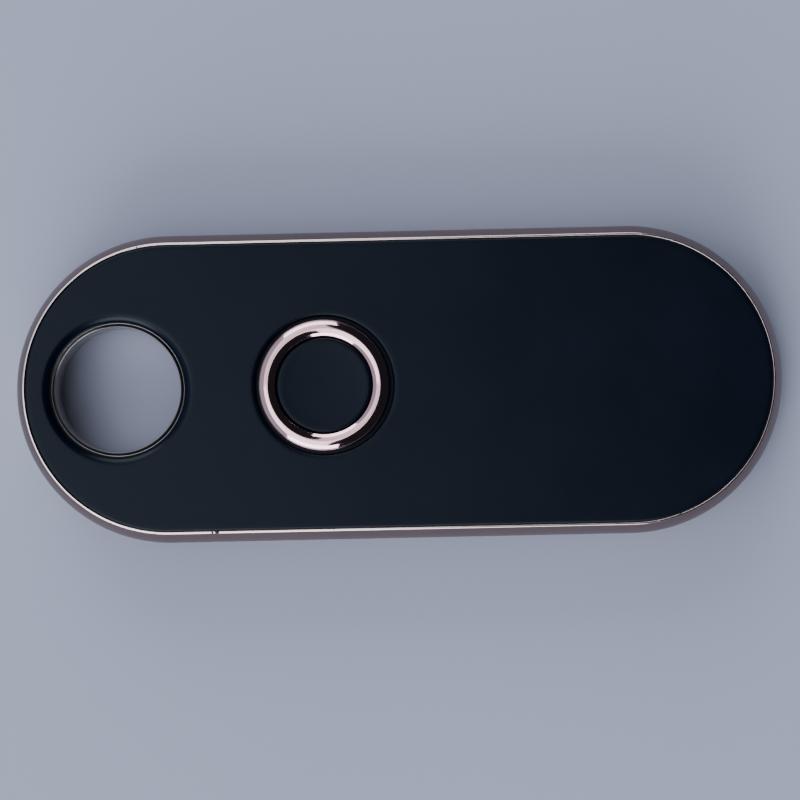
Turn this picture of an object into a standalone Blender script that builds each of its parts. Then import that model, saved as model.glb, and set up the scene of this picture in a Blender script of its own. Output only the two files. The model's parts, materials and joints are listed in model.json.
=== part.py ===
"""Bluetooth tracker tag: a flat stadium-shaped key finder with a metal rim, a keyring hole, a ringed button
and a replaceable coin cell.

Frame: metres, +Z up. The tag lies on its back, its long axis along X with the keyring hole at -X. The origin
is the middle of the back face. Heights are measured from the back face.
"""
import math

import bmesh
import bpy

MM = 0.001

# --- Overall sizes. The coin cell sets the width and the thickness, with the walls and gaps round it ---
TAG_LENGTH = 58.0 * MM
CELL_DIAMETER = 20.0 * MM
CELL_HEIGHT = 3.2 * MM

# --- Clearances ---
SEAM = 0.08 * MM  # open seam between visible pieces, and round what slides
FIT = 0.05 * MM  # between pieces that seat on each other
CELL_SIDE_GAP = 0.22 * MM
CELL_TOP_GAP = 0.1 * MM
CELL_LIFT = 0.3 * MM  # room under the cell for its contact

# --- Shells ---
TRAY_FLOOR = 0.8 * MM
TRAY_WALL = 0.5 * MM
COVER_WALL = 0.9 * MM
COVER_EDGE = 0.12 * MM  # small round on the covers' outer edges
RIM_LIP = 0.2 * MM
RIM_BULGE = 0.65 * MM
RIM_DROP = 0.1 * MM  # the rim's lips lie this far below the faces
RIM_FLANGE_HEIGHT = 0.7 * MM
GASKET_WIDTH = 0.22 * MM
GASKET_GROOVE_DEPTH = 0.2 * MM
GASKET_INSET = 0.2 * MM  # from the cover's edge to its groove
RIB_LENGTH = 4.0 * MM
RIB_HEIGHT = 0.7 * MM
RIB_WALL = 0.5 * MM
RIB_PITCH = 13.0 * MM

# --- Keyring hole ---
BORE_RADIUS = 4.75 * MM
SLEEVE_WALL = 0.23 * MM
SLEEVE_COLLAR_WIDTH = 0.6 * MM
SLEEVE_COLLAR_HEIGHT = 0.4 * MM
HOLE_ROUND = 0.7 * MM  # radius of the faces' roll into the hole
HOLE_END_WALL = 2.87 * MM  # from the tag's end to the sleeve
BOSS_WALL = 0.92 * MM

# --- Button ---
HOLE_TO_BUTTON = 10.57 * MM  # from the sleeve to the button's axis
RING_OUTER_RADIUS = 4.95 * MM
RING_TUBE = 1.25 * MM
RING_PROUD = 0.5 * MM
RING_STEM_WIDTH = 0.5 * MM
RING_GROOVE_DEPTH = 0.3 * MM
RING_RECESS_GAP = 0.27 * MM
RECESS_ROUND = 0.25 * MM
LEDGE_HEIGHT = 0.5 * MM
BUTTON_BOSS_WALL = 0.58 * MM
CAP_PROUD = 0.1 * MM
CAP_ROUND = 0.25 * MM
CAP_FLANGE_WIDTH = 0.6 * MM
CAP_FLANGE_HEIGHT = 0.3 * MM
CAP_STEM_RADIUS = 1.8 * MM
BUTTON_TRAVEL = 0.2 * MM
RETAINER_HEIGHT = 0.3 * MM
RETAINER_HOLE_GAP = 0.3 * MM
PAD_RADIUS = 1.5 * MM
PAD_HEIGHT = 0.4 * MM
STEM_REACH = 0.5 * MM  # how far the cap's stem reaches below its flange

# --- Tact switch ---
SWITCH_SIDE = 3.8 * MM
SWITCH_BASE_HEIGHT = 0.75 * MM
SWITCH_FLOOR = 0.15 * MM
SWITCH_POCKET_RADIUS = 1.5 * MM
DOME_HEIGHT = 0.3 * MM
DOME_SHEET = 0.08 * MM
PLUNGER_RADIUS = 0.9 * MM
PLUNGER_FLANGE_WIDTH = 0.4 * MM
PLUNGER_FLANGE_HEIGHT = 0.15 * MM
SWITCH_PLATE = 0.15 * MM

# --- Board and what stands on it ---
BOARD_THICKNESS = 0.6 * MM
BOARD_LIFT = 0.1 * MM
BOARD_SIDE_GAP = 0.15 * MM
BOARD_HORN = 3.0 * MM  # the board stops this far past the hole's axis
STAKE_RADIUS = 0.55 * MM
STAKE_HEAD_WIDTH = 0.35 * MM
STAKE_HEAD_HEIGHT = 0.35 * MM
STAKE_INSET = 1.2 * MM  # from the board's edge
SOUNDER_SIDE = 7.5 * MM
SOUNDER_HEIGHT = 1.5 * MM
SOUNDER_WALL = 0.3 * MM
SOUNDER_MOUTH = 0.9 * MM
CHIP_SIDE = 5.0 * MM
CHIP_HEIGHT = 0.85 * MM
PART_GAP = 0.25 * MM  # least space between neighbours on the board

# --- Cell and contacts ---
CAN_SHEET = 0.25 * MM
CAN_ROUND = 0.3 * MM
CELL_SEAL_WIDTH = 1.3 * MM  # the cap's wall lies this far inside the can's
CONTACT_SHEET = 0.12 * MM
CONTACT_WIDTH = 3.0 * MM

SHELL_SOLVER = "MANIFOLD"  # the exact solver leaves open edges in the two shells at some sizes

# --- Smoothness of round work ---
ARC_STEPS = 24  # steps in each half-round end
WIDE_SEGMENTS = 40
FINE_SEGMENTS = 20

# --- Derived radii of the stadium outlines; an outline's radius is its half width ---
TRAY_INNER = CELL_DIAMETER / 2 + CELL_SIDE_GAP
COVER_RADIUS = TRAY_INNER + TRAY_WALL
RIM_INNER = COVER_RADIUS + SEAM
RIM_LIP_RADIUS = RIM_INNER + RIM_LIP
TAG_RADIUS = RIM_LIP_RADIUS + RIM_BULGE
REACH = TAG_LENGTH / 2 - TAG_RADIUS  # half the distance between the two ends' centres
BOARD_RADIUS = TRAY_INNER - BOARD_SIDE_GAP

# --- Derived heights ---
BOARD_BASE = TRAY_FLOOR + BOARD_LIFT
BOARD_TOP = BOARD_BASE + BOARD_THICKNESS
PART_BASE = BOARD_TOP + FIT
CELL_BASE = BOARD_TOP + CELL_LIFT
CELL_TOP = CELL_BASE + CELL_HEIGHT
COVER_BASE = CELL_TOP + CELL_TOP_GAP
TAG_HEIGHT = COVER_BASE + COVER_WALL
FLANGE_TOP = COVER_BASE - FIT
FLANGE_BASE = FLANGE_TOP - RIM_FLANGE_HEIGHT
TRAY_TOP = FLANGE_BASE - FIT

# --- Derived sizes of the hole ---
SLEEVE_RADIUS = BORE_RADIUS + SLEEVE_WALL
HOLE_RADIUS = SLEEVE_RADIUS + FIT
BOSS_RADIUS = HOLE_RADIUS + BOSS_WALL
COLLAR_TOP = COVER_BASE - FIT
COLLAR_BASE = COLLAR_TOP - SLEEVE_COLLAR_HEIGHT
BOSS_TOP = COLLAR_BASE - FIT

# --- Derived sizes of the button ---
RING_MIDDLE = RING_OUTER_RADIUS - RING_TUBE / 2
RING_Z = TAG_HEIGHT + RING_PROUD - RING_TUBE / 2
RING_SEAT = RING_Z - RING_TUBE / 2 - FIT
LEDGE_BASE = RING_SEAT - LEDGE_HEIGHT
RECESS_RADIUS = RING_OUTER_RADIUS + RING_RECESS_GAP
BUTTON_BOSS_RADIUS = RECESS_RADIUS + BUTTON_BOSS_WALL
CAP_RADIUS = RING_OUTER_RADIUS - RING_TUBE - SEAM
CAP_TOP = TAG_HEIGHT + CAP_PROUD
CAP_FLANGE_RADIUS = CAP_RADIUS + CAP_FLANGE_WIDTH
CAP_FLANGE_TOP = LEDGE_BASE - SEAM
CAP_FLANGE_BASE = CAP_FLANGE_TOP - CAP_FLANGE_HEIGHT
RETAINER_TOP = CAP_FLANGE_BASE - BUTTON_TRAVEL - SEAM
RETAINER_BASE = RETAINER_TOP - RETAINER_HEIGHT
BUTTON_BOSS_BASE = RETAINER_TOP + FIT
STEM_BASE = CAP_FLANGE_BASE - STEM_REACH
PAD_BASE = STEM_BASE - FIT - PAD_HEIGHT

# --- Derived heights of the switch ---
SWITCH_TOP = PART_BASE + SWITCH_BASE_HEIGHT
DOME_BASE = PART_BASE + SWITCH_FLOOR + FIT
PLUNGER_BASE = DOME_BASE + DOME_HEIGHT + FIT
PLATE_BASE = SWITCH_TOP + FIT

# --- Derived places along X ---
HOLE_X = -TAG_LENGTH / 2 + HOLE_END_WALL + SLEEVE_RADIUS
BUTTON_X = HOLE_X + SLEEVE_RADIUS + HOLE_TO_BUTTON
CELL_X = REACH
CELL_LEFT = CELL_X - CELL_DIAMETER / 2
SOUNDER_RIGHT = BUTTON_X - SWITCH_SIDE / 2 - PART_GAP

PIECES = bpy.data.collections.new("bluetooth_tracker_tag")
HELPERS = bpy.data.collections.new("cutters")


# ---------------------------------------------------------------------------------------------------------
# Tools
# ---------------------------------------------------------------------------------------------------------
def clear_scene():
    """Removes what the scene holds, and links the two collections."""
    for obj in list(bpy.data.objects):
        bpy.data.objects.remove(obj, do_unlink=True)
    for collection in (PIECES, HELPERS):
        bpy.context.scene.collection.children.link(collection)


def material(name, colour, roughness, metallic=0.0):
    """A Principled material with one colour."""
    made = bpy.data.materials.new(name)
    made.use_nodes = True
    shader = made.node_tree.nodes["Principled BSDF"]
    shader.inputs["Base Color"].default_value = (*colour, 1.0)
    shader.inputs["Roughness"].default_value = roughness
    shader.inputs["Metallic"].default_value = metallic
    return made


def make_object(name, bm, location=(0.0, 0.0, 0.0), finish=None):
    """Turns a bmesh into an object: a piece if it has a finish, and a helper for Boolean work if not."""
    mesh = bpy.data.meshes.new(name)
    bm.to_mesh(mesh)
    bm.free()
    obj = bpy.data.objects.new(name, mesh)
    obj.location = location
    if finish is None:
        HELPERS.objects.link(obj)
        obj.hide_render = True
        obj.display_type = "WIRE"
    else:
        PIECES.objects.link(obj)
        mesh.materials.append(finish)
    return obj


def smooth(obj, angle=40.0):
    """Shades a round piece smooth, with its sharp edges kept."""
    obj.data.shade_smooth()
    obj.data.set_sharp_from_angle(angle=math.radians(angle))


def arc(centre_r, centre_z, radius, start, end, steps):
    """Points of a profile's arc, as (r, z); angles in degrees from +r towards +z."""
    points = []
    for step in range(steps + 1):
        angle = math.radians(start + (end - start) * step / steps)
        points.append((centre_r + radius * math.cos(angle), centre_z + radius * math.sin(angle)))
    return points


def profile_edges(bm, points, closed, across):
    """Adds a profile of (r, z) points to a bmesh, with r along X or along Y."""
    if across == "X":
        verts = [bm.verts.new((r, 0.0, z)) for r, z in points]
    else:
        verts = [bm.verts.new((0.0, r, z)) for r, z in points]
    pairs = list(zip(verts, verts[1:]))
    if closed:
        pairs.append((verts[-1], verts[0]))
    return [bm.edges.new(pair) for pair in pairs]


def turned(name, points, x, finish=None, closed=False, segments=WIDE_SEGMENTS):
    """A turned piece at x: its profile runs outwards along the top, down the outer side and back."""
    bm = bmesh.new()
    profile_edges(bm, points, closed, "X")
    obj = make_object(name, bm, (x, 0.0, 0.0), finish)
    screw = obj.modifiers.new("turn", "SCREW")
    screw.axis = "Z"
    screw.steps = segments
    screw.render_steps = segments
    screw.use_merge_vertices = True
    screw.merge_threshold = 1e-7
    screw.use_smooth_shade = True
    return obj


def extruded(bm, edges, offset):
    """Extrudes edges and moves the new ones by the offset along X; gives the new edges."""
    result = bmesh.ops.extrude_edge_only(bm, edges=edges)
    verts = {item for item in result["geom"] if isinstance(item, bmesh.types.BMVert)}
    bmesh.ops.translate(bm, verts=list(verts), vec=(offset, 0.0, 0.0))
    return [edge for edge in bm.edges if edge.verts[0] in verts and edge.verts[1] in verts]


def stadium(name, points, finish=None, closed=True):
    """Sweeps a profile of (r, z) points round the stadium outline; an open profile gets flat caps."""
    bm = bmesh.new()
    edges = profile_edges(bm, points, closed, "Y")
    edges = extruded(bm, edges, REACH)
    verts = list({vert for edge in edges for vert in edge.verts})
    turn = bmesh.ops.spin(
        bm, geom=verts + edges, cent=(REACH, 0.0, 0.0), axis=(0.0, 0.0, 1.0), angle=-math.pi, steps=ARC_STEPS
    )
    edges = [item for item in turn["geom_last"] if isinstance(item, bmesh.types.BMEdge)]
    extruded(bm, edges, -REACH)
    everything = bm.verts[:] + bm.edges[:] + bm.faces[:]
    bmesh.ops.mirror(bm, geom=everything, axis="X", merge_dist=1e-7)
    if not closed:
        open_edges = [edge for edge in bm.edges if edge.is_boundary]
        bmesh.ops.holes_fill(bm, edges=open_edges, sides=0)
    bmesh.ops.recalc_face_normals(bm, faces=bm.faces[:])
    obj = make_object(name, bm, finish=finish)
    smooth(obj)
    return obj


def box(name, size, centre, finish=None, edge=0.0):
    """A block at its centre, with its edges bevelled if asked."""
    bm = bmesh.new()
    bmesh.ops.create_cube(bm, size=1.0)
    bmesh.ops.scale(bm, vec=size, verts=bm.verts[:])
    obj = make_object(name, bm, centre, finish)
    if edge:
        bevel = obj.modifiers.new("edge", "BEVEL")
        bevel.width = edge
        bevel.segments = 1
    return obj


def strip(name, points, width, y, finish):
    """A bent sheet-metal strip: (x, z) points of its middle, swept across Y and thickened."""
    bm = bmesh.new()
    verts = [bm.verts.new((x, -width / 2, z)) for x, z in points]
    edges = [bm.edges.new(pair) for pair in zip(verts, verts[1:])]
    result = bmesh.ops.extrude_edge_only(bm, edges=edges)
    moved = [item for item in result["geom"] if isinstance(item, bmesh.types.BMVert)]
    bmesh.ops.translate(bm, verts=moved, vec=(0.0, width, 0.0))
    obj = make_object(name, bm, (0.0, y, 0.0), finish)
    solidify = obj.modifiers.new("sheet", "SOLIDIFY")
    solidify.thickness = CONTACT_SHEET
    solidify.offset = 0.0
    return obj


def boolean(obj, helpers, operation, solver):
    """Cuts helpers from a piece, or joins them on."""
    for helper in helpers:
        modifier = obj.modifiers.new(helper.name, "BOOLEAN")
        modifier.operation = operation
        modifier.solver = solver
        modifier.object = helper


def cut(obj, *helpers, solver="EXACT"):
    boolean(obj, helpers, "DIFFERENCE", solver)


def join(obj, *helpers, solver="EXACT"):
    boolean(obj, helpers, "UNION", solver)


def guide(name, location, parent=None):
    """An empty on a joint's axis, at a place given in the tag's frame."""
    empty = bpy.data.objects.new(name, None)
    empty.empty_display_size = 2.0 * MM
    PIECES.objects.link(empty)
    empty.location = location
    if parent is not None:
        attach(empty, parent)
    return empty


def attach(obj, parent):
    """Parents an object to an unturned empty and keeps its place."""
    place = parent.location.copy()
    above = parent.parent
    while above is not None:
        place += above.location
        above = above.parent
    obj.parent = parent
    obj.location -= place


# ---------------------------------------------------------------------------------------------------------
# Shells
# ---------------------------------------------------------------------------------------------------------
def rim_frame(finish):
    """The metal band: a shallow outward bulge between two thin lips, and a flange that the cover rests on."""
    middle = TAG_HEIGHT / 2
    half_band = middle - RIM_DROP - RIM_LIP / 4  # the lips slope down by a quarter of their width
    bulge_radius = (half_band**2 + RIM_BULGE**2) / (2 * RIM_BULGE)
    spread = math.degrees(math.asin(half_band / bulge_radius))
    profile = [(RIM_INNER, TAG_HEIGHT - RIM_DROP)]
    profile += arc(TAG_RADIUS - bulge_radius, middle, bulge_radius, spread, -spread, 8)
    profile += [
        (RIM_INNER, RIM_DROP),
        (RIM_INNER, FLANGE_BASE),
        (TRAY_INNER, FLANGE_BASE),
        (TRAY_INNER, FLANGE_TOP),
        (RIM_INNER, FLANGE_TOP),
    ]
    return stadium("rim_frame", profile, finish)


def hole_cutter(name, face_z, inner_z):
    """Cuts a shell's keyring hole, with the roll from the face into the hole; face_z is the outer face."""
    outward = 1.0 if face_z > inner_z else -1.0
    roll_r = HOLE_RADIUS + HOLE_ROUND
    roll_z = face_z - outward * HOLE_ROUND
    first = 90.0 - 8.0  # the roll starts just below the face
    roll = [(r, roll_z + outward * (z - roll_z)) for r, z in arc(roll_r, roll_z, -HOLE_ROUND, -first, 0.0, 5)]
    profile = [(0.0, face_z + outward * MM), (roll[0][0], face_z + outward * MM)]
    profile += roll
    profile += [(HOLE_RADIUS, inner_z - outward * MM), (0.0, inner_z - outward * MM)]
    if outward < 0:
        profile.reverse()
    return turned(name, profile, HOLE_X)


def front_cover(finish):
    """The front shell: a plate with the button's boss, its ledge and opening, ribs and a gasket groove."""
    profile = arc(COVER_RADIUS - COVER_EDGE, TAG_HEIGHT - COVER_EDGE, COVER_EDGE, 90.0, 0.0, 2)
    profile += [(COVER_RADIUS, COVER_BASE)]
    cover = stadium("front_cover", profile, finish, closed=False)

    boss = turned(
        "button_boss",
        [
            (0.0, COVER_BASE + COVER_WALL / 2),
            (BUTTON_BOSS_RADIUS, COVER_BASE + COVER_WALL / 2),
            (BUTTON_BOSS_RADIUS, BUTTON_BOSS_BASE),
            (0.0, BUTTON_BOSS_BASE),
        ],
        BUTTON_X,
    )
    groove_inner = RING_MIDDLE - RING_STEM_WIDTH / 2 - SEAM
    groove_outer = RING_MIDDLE + RING_STEM_WIDTH / 2 + SEAM
    groove_base = RING_SEAT - RING_GROOVE_DEPTH
    recess = arc(RECESS_RADIUS + RECESS_ROUND, TAG_HEIGHT - RECESS_ROUND, -RECESS_ROUND, -80.0, 0.0, 3)
    opening = turned(
        "button_opening",
        [(0.0, TAG_HEIGHT + MM), (recess[0][0], TAG_HEIGHT + MM)]
        + recess
        + [
            (RECESS_RADIUS, RING_SEAT),
            (groove_outer, RING_SEAT),
            (groove_outer, groove_base),
            (groove_inner, groove_base),
            (groove_inner, RING_SEAT),
            (CAP_RADIUS + SEAM, RING_SEAT),
            (CAP_RADIUS + SEAM, LEDGE_BASE),
            (CAP_FLANGE_RADIUS + SEAM, LEDGE_BASE),
            (CAP_FLANGE_RADIUS + SEAM, BUTTON_BOSS_BASE - MM),
            (0.0, BUTTON_BOSS_BASE - MM),
        ],
        BUTTON_X,
    )
    groove_edge = COVER_RADIUS - GASKET_INSET
    groove_depth = COVER_BASE + GASKET_GROOVE_DEPTH
    gasket_groove = stadium(
        "gasket_groove",
        [
            (groove_edge, groove_depth),
            (groove_edge, COVER_BASE - MM),
            (groove_edge - GASKET_WIDTH - 2 * FIT, COVER_BASE - MM),
            (groove_edge - GASKET_WIDTH - 2 * FIT, groove_depth),
        ],
    )
    keyring_hole = hole_cutter("front_keyring_hole", TAG_HEIGHT, COVER_BASE)
    join(cover, boss, solver=SHELL_SOLVER)
    cut(cover, keyring_hole, opening, gasket_groove, solver=SHELL_SOLVER)
    helpers = [boss, keyring_hole, opening, gasket_groove]
    for side in (-1.0, 1.0):
        for step in range(2):
            rib_top = COVER_BASE + COVER_WALL / 4
            height = rib_top - COVER_BASE + RIB_HEIGHT
            x = BUTTON_X + (step - 0.5) * RIB_PITCH
            y = side * (TRAY_INNER - SEAM - RIB_WALL / 2)
            rib = box(f"rib_{len(helpers)}", (RIB_LENGTH, RIB_WALL, height), (x, y, rib_top - height / 2))
            join(cover, rib, solver=SHELL_SOLVER)
            helpers.append(rib)
    return cover, helpers


def cover_gasket(finish):
    """The soft seal in the front cover's groove."""
    outer = COVER_RADIUS - GASKET_INSET - FIT
    inner = outer - GASKET_WIDTH
    top = COVER_BASE + GASKET_GROOVE_DEPTH - FIT
    base = FLANGE_TOP + FIT / 2
    return stadium("cover_gasket", [(outer, top), (outer, base), (inner, base), (inner, top)], finish)


def stake(name, x, y):
    """A heat-staked post that holds the board: a shoulder below it, a pin through it and a spread head."""
    head_radius = STAKE_RADIUS + STAKE_HEAD_WIDTH
    head_base = BOARD_TOP + FIT
    post = turned(
        name,
        [
            (0.0, head_base + STAKE_HEAD_HEIGHT),
            (head_radius * 0.7, head_base + STAKE_HEAD_HEIGHT),
            (head_radius, head_base + STAKE_HEAD_HEIGHT / 2),
            (head_radius, head_base),
            (STAKE_RADIUS, head_base),
            (STAKE_RADIUS, BOARD_BASE - FIT),
            (head_radius, BOARD_BASE - FIT),
            (head_radius, TRAY_FLOOR / 2),
            (0.0, TRAY_FLOOR / 2),
        ],
        x,
        segments=12,
    )
    post.location.y = y
    return post


def stake_places():
    """The four posts' places: beside the keyring hole, beside the sounder, and two beside the cell."""
    y = BOARD_RADIUS - STAKE_INSET
    by_hole = HOLE_X + BOSS_RADIUS + STAKE_INSET
    by_sounder = SOUNDER_RIGHT + STAKE_INSET
    by_cell = CELL_LEFT - STAKE_INSET
    return [(by_hole, y), (by_sounder, -y), (by_cell, y), (by_cell, -y)]


def back_cover(finish):
    """The rear shell: a tray with a boss round the keyring hole and four posts for the board."""
    profile = [(COVER_RADIUS, TRAY_TOP)]
    profile += arc(COVER_RADIUS - COVER_EDGE, COVER_EDGE, COVER_EDGE, 0.0, -90.0, 2)
    tray = stadium("back_cover", profile, finish, closed=False)
    cavity = stadium("tray_cavity", [(TRAY_INNER, TRAY_TOP + MM), (TRAY_INNER, TRAY_FLOOR)], closed=False)
    boss = turned(
        "keyring_boss",
        [(0.0, BOSS_TOP), (BOSS_RADIUS, BOSS_TOP), (BOSS_RADIUS, TRAY_FLOOR / 2), (0.0, TRAY_FLOOR / 2)],
        HOLE_X,
    )
    keyring_hole = hole_cutter("back_keyring_hole", 0.0, BOSS_TOP)
    cut(tray, cavity, solver=SHELL_SOLVER)
    join(tray, boss, solver=SHELL_SOLVER)
    cut(tray, keyring_hole, solver=SHELL_SOLVER)
    for index, (x, y) in enumerate(stake_places(), 1):
        join(tray, stake(f"stake_{index}", x, y), solver=SHELL_SOLVER)
    return tray


def keyring_sleeve(finish):
    """The thin metal liner of the keyring hole, held by a collar between the boss and the front cover."""
    low = HOLE_ROUND
    high = TAG_HEIGHT - HOLE_ROUND
    collar = SLEEVE_RADIUS + SLEEVE_COLLAR_WIDTH
    profile = [
        (BORE_RADIUS, high),
        (SLEEVE_RADIUS, high),
        (SLEEVE_RADIUS, COLLAR_TOP),
        (collar, COLLAR_TOP),
        (collar, COLLAR_BASE),
        (SLEEVE_RADIUS, COLLAR_BASE),
        (SLEEVE_RADIUS, low),
        (BORE_RADIUS, low),
    ]
    return turned("keyring_sleeve", profile, HOLE_X, finish, closed=True)


# ---------------------------------------------------------------------------------------------------------
# Button
# ---------------------------------------------------------------------------------------------------------
def button_ring(finish):
    """The polished ring: a round bead on a stem that plugs into the cover's groove."""
    half_stem = RING_STEM_WIDTH / 2
    stem_base = RING_SEAT - RING_GROOVE_DEPTH + FIT
    side = math.degrees(math.acos(half_stem / (RING_TUBE / 2)))
    bead = arc(RING_MIDDLE, RING_Z, RING_TUBE / 2, 180.0 + side, -side, 12)
    profile = bead + [(RING_MIDDLE + half_stem, stem_base), (RING_MIDDLE - half_stem, stem_base)]
    return turned("button_ring", profile, BUTTON_X, finish, closed=True)


def button_cap(finish):
    """The button: a disc in the ring, a flange that stops it, and a stem over the switch."""
    profile = [(0.0, CAP_TOP)]
    profile += arc(CAP_RADIUS - CAP_ROUND, CAP_TOP - CAP_ROUND, CAP_ROUND, 90.0, 0.0, 3)
    profile += [
        (CAP_RADIUS, CAP_FLANGE_TOP),
        (CAP_FLANGE_RADIUS, CAP_FLANGE_TOP),
        (CAP_FLANGE_RADIUS, CAP_FLANGE_BASE),
        (CAP_STEM_RADIUS, CAP_FLANGE_BASE),
        (CAP_STEM_RADIUS, STEM_BASE),
        (0.0, STEM_BASE),
    ]
    return turned("button_cap", profile, BUTTON_X, finish)


def disc(name, radius, top, base, x, finish, segments=WIDE_SEGMENTS):
    """A plain turned disc."""
    return turned(name, [(0.0, top), (radius, top), (radius, base), (0.0, base)], x, finish, segments=segments)


def washer(name, inner, outer, top, base, x, finish):
    """A plain turned ring."""
    profile = [(inner, top), (outer, top), (outer, base), (inner, base)]
    return turned(name, profile, x, finish, closed=True)


# ---------------------------------------------------------------------------------------------------------
# Tact switch
# ---------------------------------------------------------------------------------------------------------
def switch_base(finish):
    """The switch's moulded base, with the pocket that its dome lies in."""
    centre = (BUTTON_X, 0.0, PART_BASE + SWITCH_BASE_HEIGHT / 2)
    base = box("switch_base", (SWITCH_SIDE, SWITCH_SIDE, SWITCH_BASE_HEIGHT), centre, finish, edge=0.1 * MM)
    pocket = disc(
        "switch_pocket", SWITCH_POCKET_RADIUS, SWITCH_TOP + MM, PART_BASE + SWITCH_FLOOR, BUTTON_X, None,
        FINE_SEGMENTS,
    )
    cut(base, pocket)
    return base


def switch_dome(finish):
    """The snap dome: a thin spherical cap with its edge on the pocket's floor."""
    radius = SWITCH_POCKET_RADIUS - SEAM
    rise = DOME_HEIGHT - DOME_SHEET
    sphere = (radius**2 + rise**2) / (2 * rise)
    spread = math.degrees(math.asin(radius / sphere))
    centre_z = DOME_BASE + rise - sphere
    outer = arc(0.0, centre_z + DOME_SHEET, sphere, 90.0, 90.0 - spread, 5)
    inner = arc(0.0, centre_z, sphere, 90.0 - spread, 90.0, 5)
    return turned("switch_dome", outer + inner, BUTTON_X, finish, segments=FINE_SEGMENTS)


def switch_plunger(finish):
    """The switch's plunger: a flange over the dome and a post up to the button's pad."""
    top = PAD_BASE - FIT
    flange_top = PLUNGER_BASE + PLUNGER_FLANGE_HEIGHT
    flange = PLUNGER_RADIUS + PLUNGER_FLANGE_WIDTH
    profile = [
        (0.0, top),
        (PLUNGER_RADIUS, top),
        (PLUNGER_RADIUS, flange_top),
        (flange, flange_top),
        (flange, PLUNGER_BASE),
        (0.0, PLUNGER_BASE),
    ]
    return turned("switch_plunger", profile, BUTTON_X, finish, segments=FINE_SEGMENTS)


def switch_frame(finish):
    """The sheet-metal plate that closes the switch, with a hole for the plunger."""
    centre = (BUTTON_X, 0.0, PLATE_BASE + SWITCH_PLATE / 2)
    plate = box("switch_frame", (SWITCH_SIDE, SWITCH_SIDE, SWITCH_PLATE), centre, finish)
    hole = disc(
        "plunger_hole", PLUNGER_RADIUS + SEAM, PLATE_BASE + MM, PLATE_BASE - MM, BUTTON_X, None, FINE_SEGMENTS
    )
    cut(plate, hole)
    return plate


# ---------------------------------------------------------------------------------------------------------
# Board
# ---------------------------------------------------------------------------------------------------------
def circuit_board(finish):
    """The board: it fills the tray, stops at the keyring hole's boss and has four holes for the posts."""
    board = stadium("circuit_board", [(BOARD_RADIUS, BOARD_TOP), (BOARD_RADIUS, BOARD_BASE)], finish, closed=False)
    clearance = disc("boss_clearance", BOSS_RADIUS + BOARD_SIDE_GAP, BOARD_TOP + MM, BOARD_BASE - MM, HOLE_X, None)
    board_end = HOLE_X + BOARD_HORN
    trim_length = TAG_LENGTH / 2 + board_end
    trim = box(
        "board_trim",
        (trim_length, 4 * TAG_RADIUS, BOARD_THICKNESS + 2 * MM),
        (board_end - trim_length / 2, 0.0, (BOARD_TOP + BOARD_BASE) / 2),
    )
    cut(board, clearance, trim)
    for index, (x, y) in enumerate(stake_places(), 1):
        hole = disc(
            f"stake_hole_{index}", STAKE_RADIUS + SEAM, BOARD_TOP + MM, BOARD_BASE - MM, x, None, segments=12
        )
        hole.location.y = y
        cut(board, hole)
    return board


def board_part(name, size, x, y, finish, edge=0.0):
    """A block that stands on the board."""
    return box(name, size, (x, y, PART_BASE + size[2] / 2), finish, edge)


def board_parts(finishes):
    """The chip, its crystals, the antenna and the small parts round them."""
    chip_x = BUTTON_X + SWITCH_SIDE / 2 + 2 * PART_GAP + CHIP_SIDE / 2
    chip_y = SWITCH_SIDE / 2 + CHIP_SIDE / 2
    half_chip = CHIP_SIDE / 2
    board_part("bluetooth_chip", (CHIP_SIDE, CHIP_SIDE, CHIP_HEIGHT), chip_x, chip_y, finishes["chip"], 0.06 * MM)

    clock = (2.0 * MM, 1.6 * MM, 0.5 * MM)
    clock_y = chip_y - half_chip - 2 * PART_GAP - clock[1] / 2
    board_part("crystal_main", clock, chip_x, clock_y, finishes["crystal"], 0.05 * MM)
    watch = (3.2 * MM, 1.5 * MM, 0.75 * MM)
    board_part("crystal_clock", watch, chip_x, clock_y - 2.6 * MM, finishes["crystal"], 0.05 * MM)
    antenna = (5.2 * MM, 2.0 * MM, 1.1 * MM)
    antenna_x = BUTTON_X - SWITCH_SIDE / 2 - antenna[0] / 2
    antenna_y = BOARD_RADIUS - 3 * PART_GAP - antenna[1] / 2
    board_part("chip_antenna", antenna, antenna_x, antenna_y, finishes["antenna"], 0.05 * MM)

    small = (1.0 * MM, 0.5 * MM, 0.5 * MM)
    upright = (small[1], small[0], small[2])
    row_y = chip_y + half_chip + PART_GAP + small[0] / 2
    for index in range(4):
        x = chip_x + (index - 1.5) * 1.2 * MM
        board_part(f"capacitor_{index + 1}", upright, x, row_y, finishes["capacitor"])
    column_x = antenna_x + 0.9 * MM
    for index in range(4):
        y = antenna_y - antenna[1] / 2 - 0.8 * MM - index * 0.9 * MM
        board_part(f"capacitor_{index + 5}", small, column_x, y, finishes["capacitor"])
    coil = (1.6 * MM, 0.8 * MM, 0.8 * MM)
    coil_x = column_x - small[0] / 2 - 2 * PART_GAP - coil[0] / 2
    for index in range(2):
        y = antenna_y - antenna[1] / 2 - 0.9 * MM - index * 1.4 * MM
        board_part(f"inductor_{index + 1}", coil, coil_x, y, finishes["inductor"])
    for index in range(2):
        x = chip_x + (index - 0.5) * 1.6 * MM
        y = clock_y - 4.3 * MM
        board_part(f"resistor_{index + 1}", (small[0], small[1], 0.35 * MM), x, y, finishes["resistor"])


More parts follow.
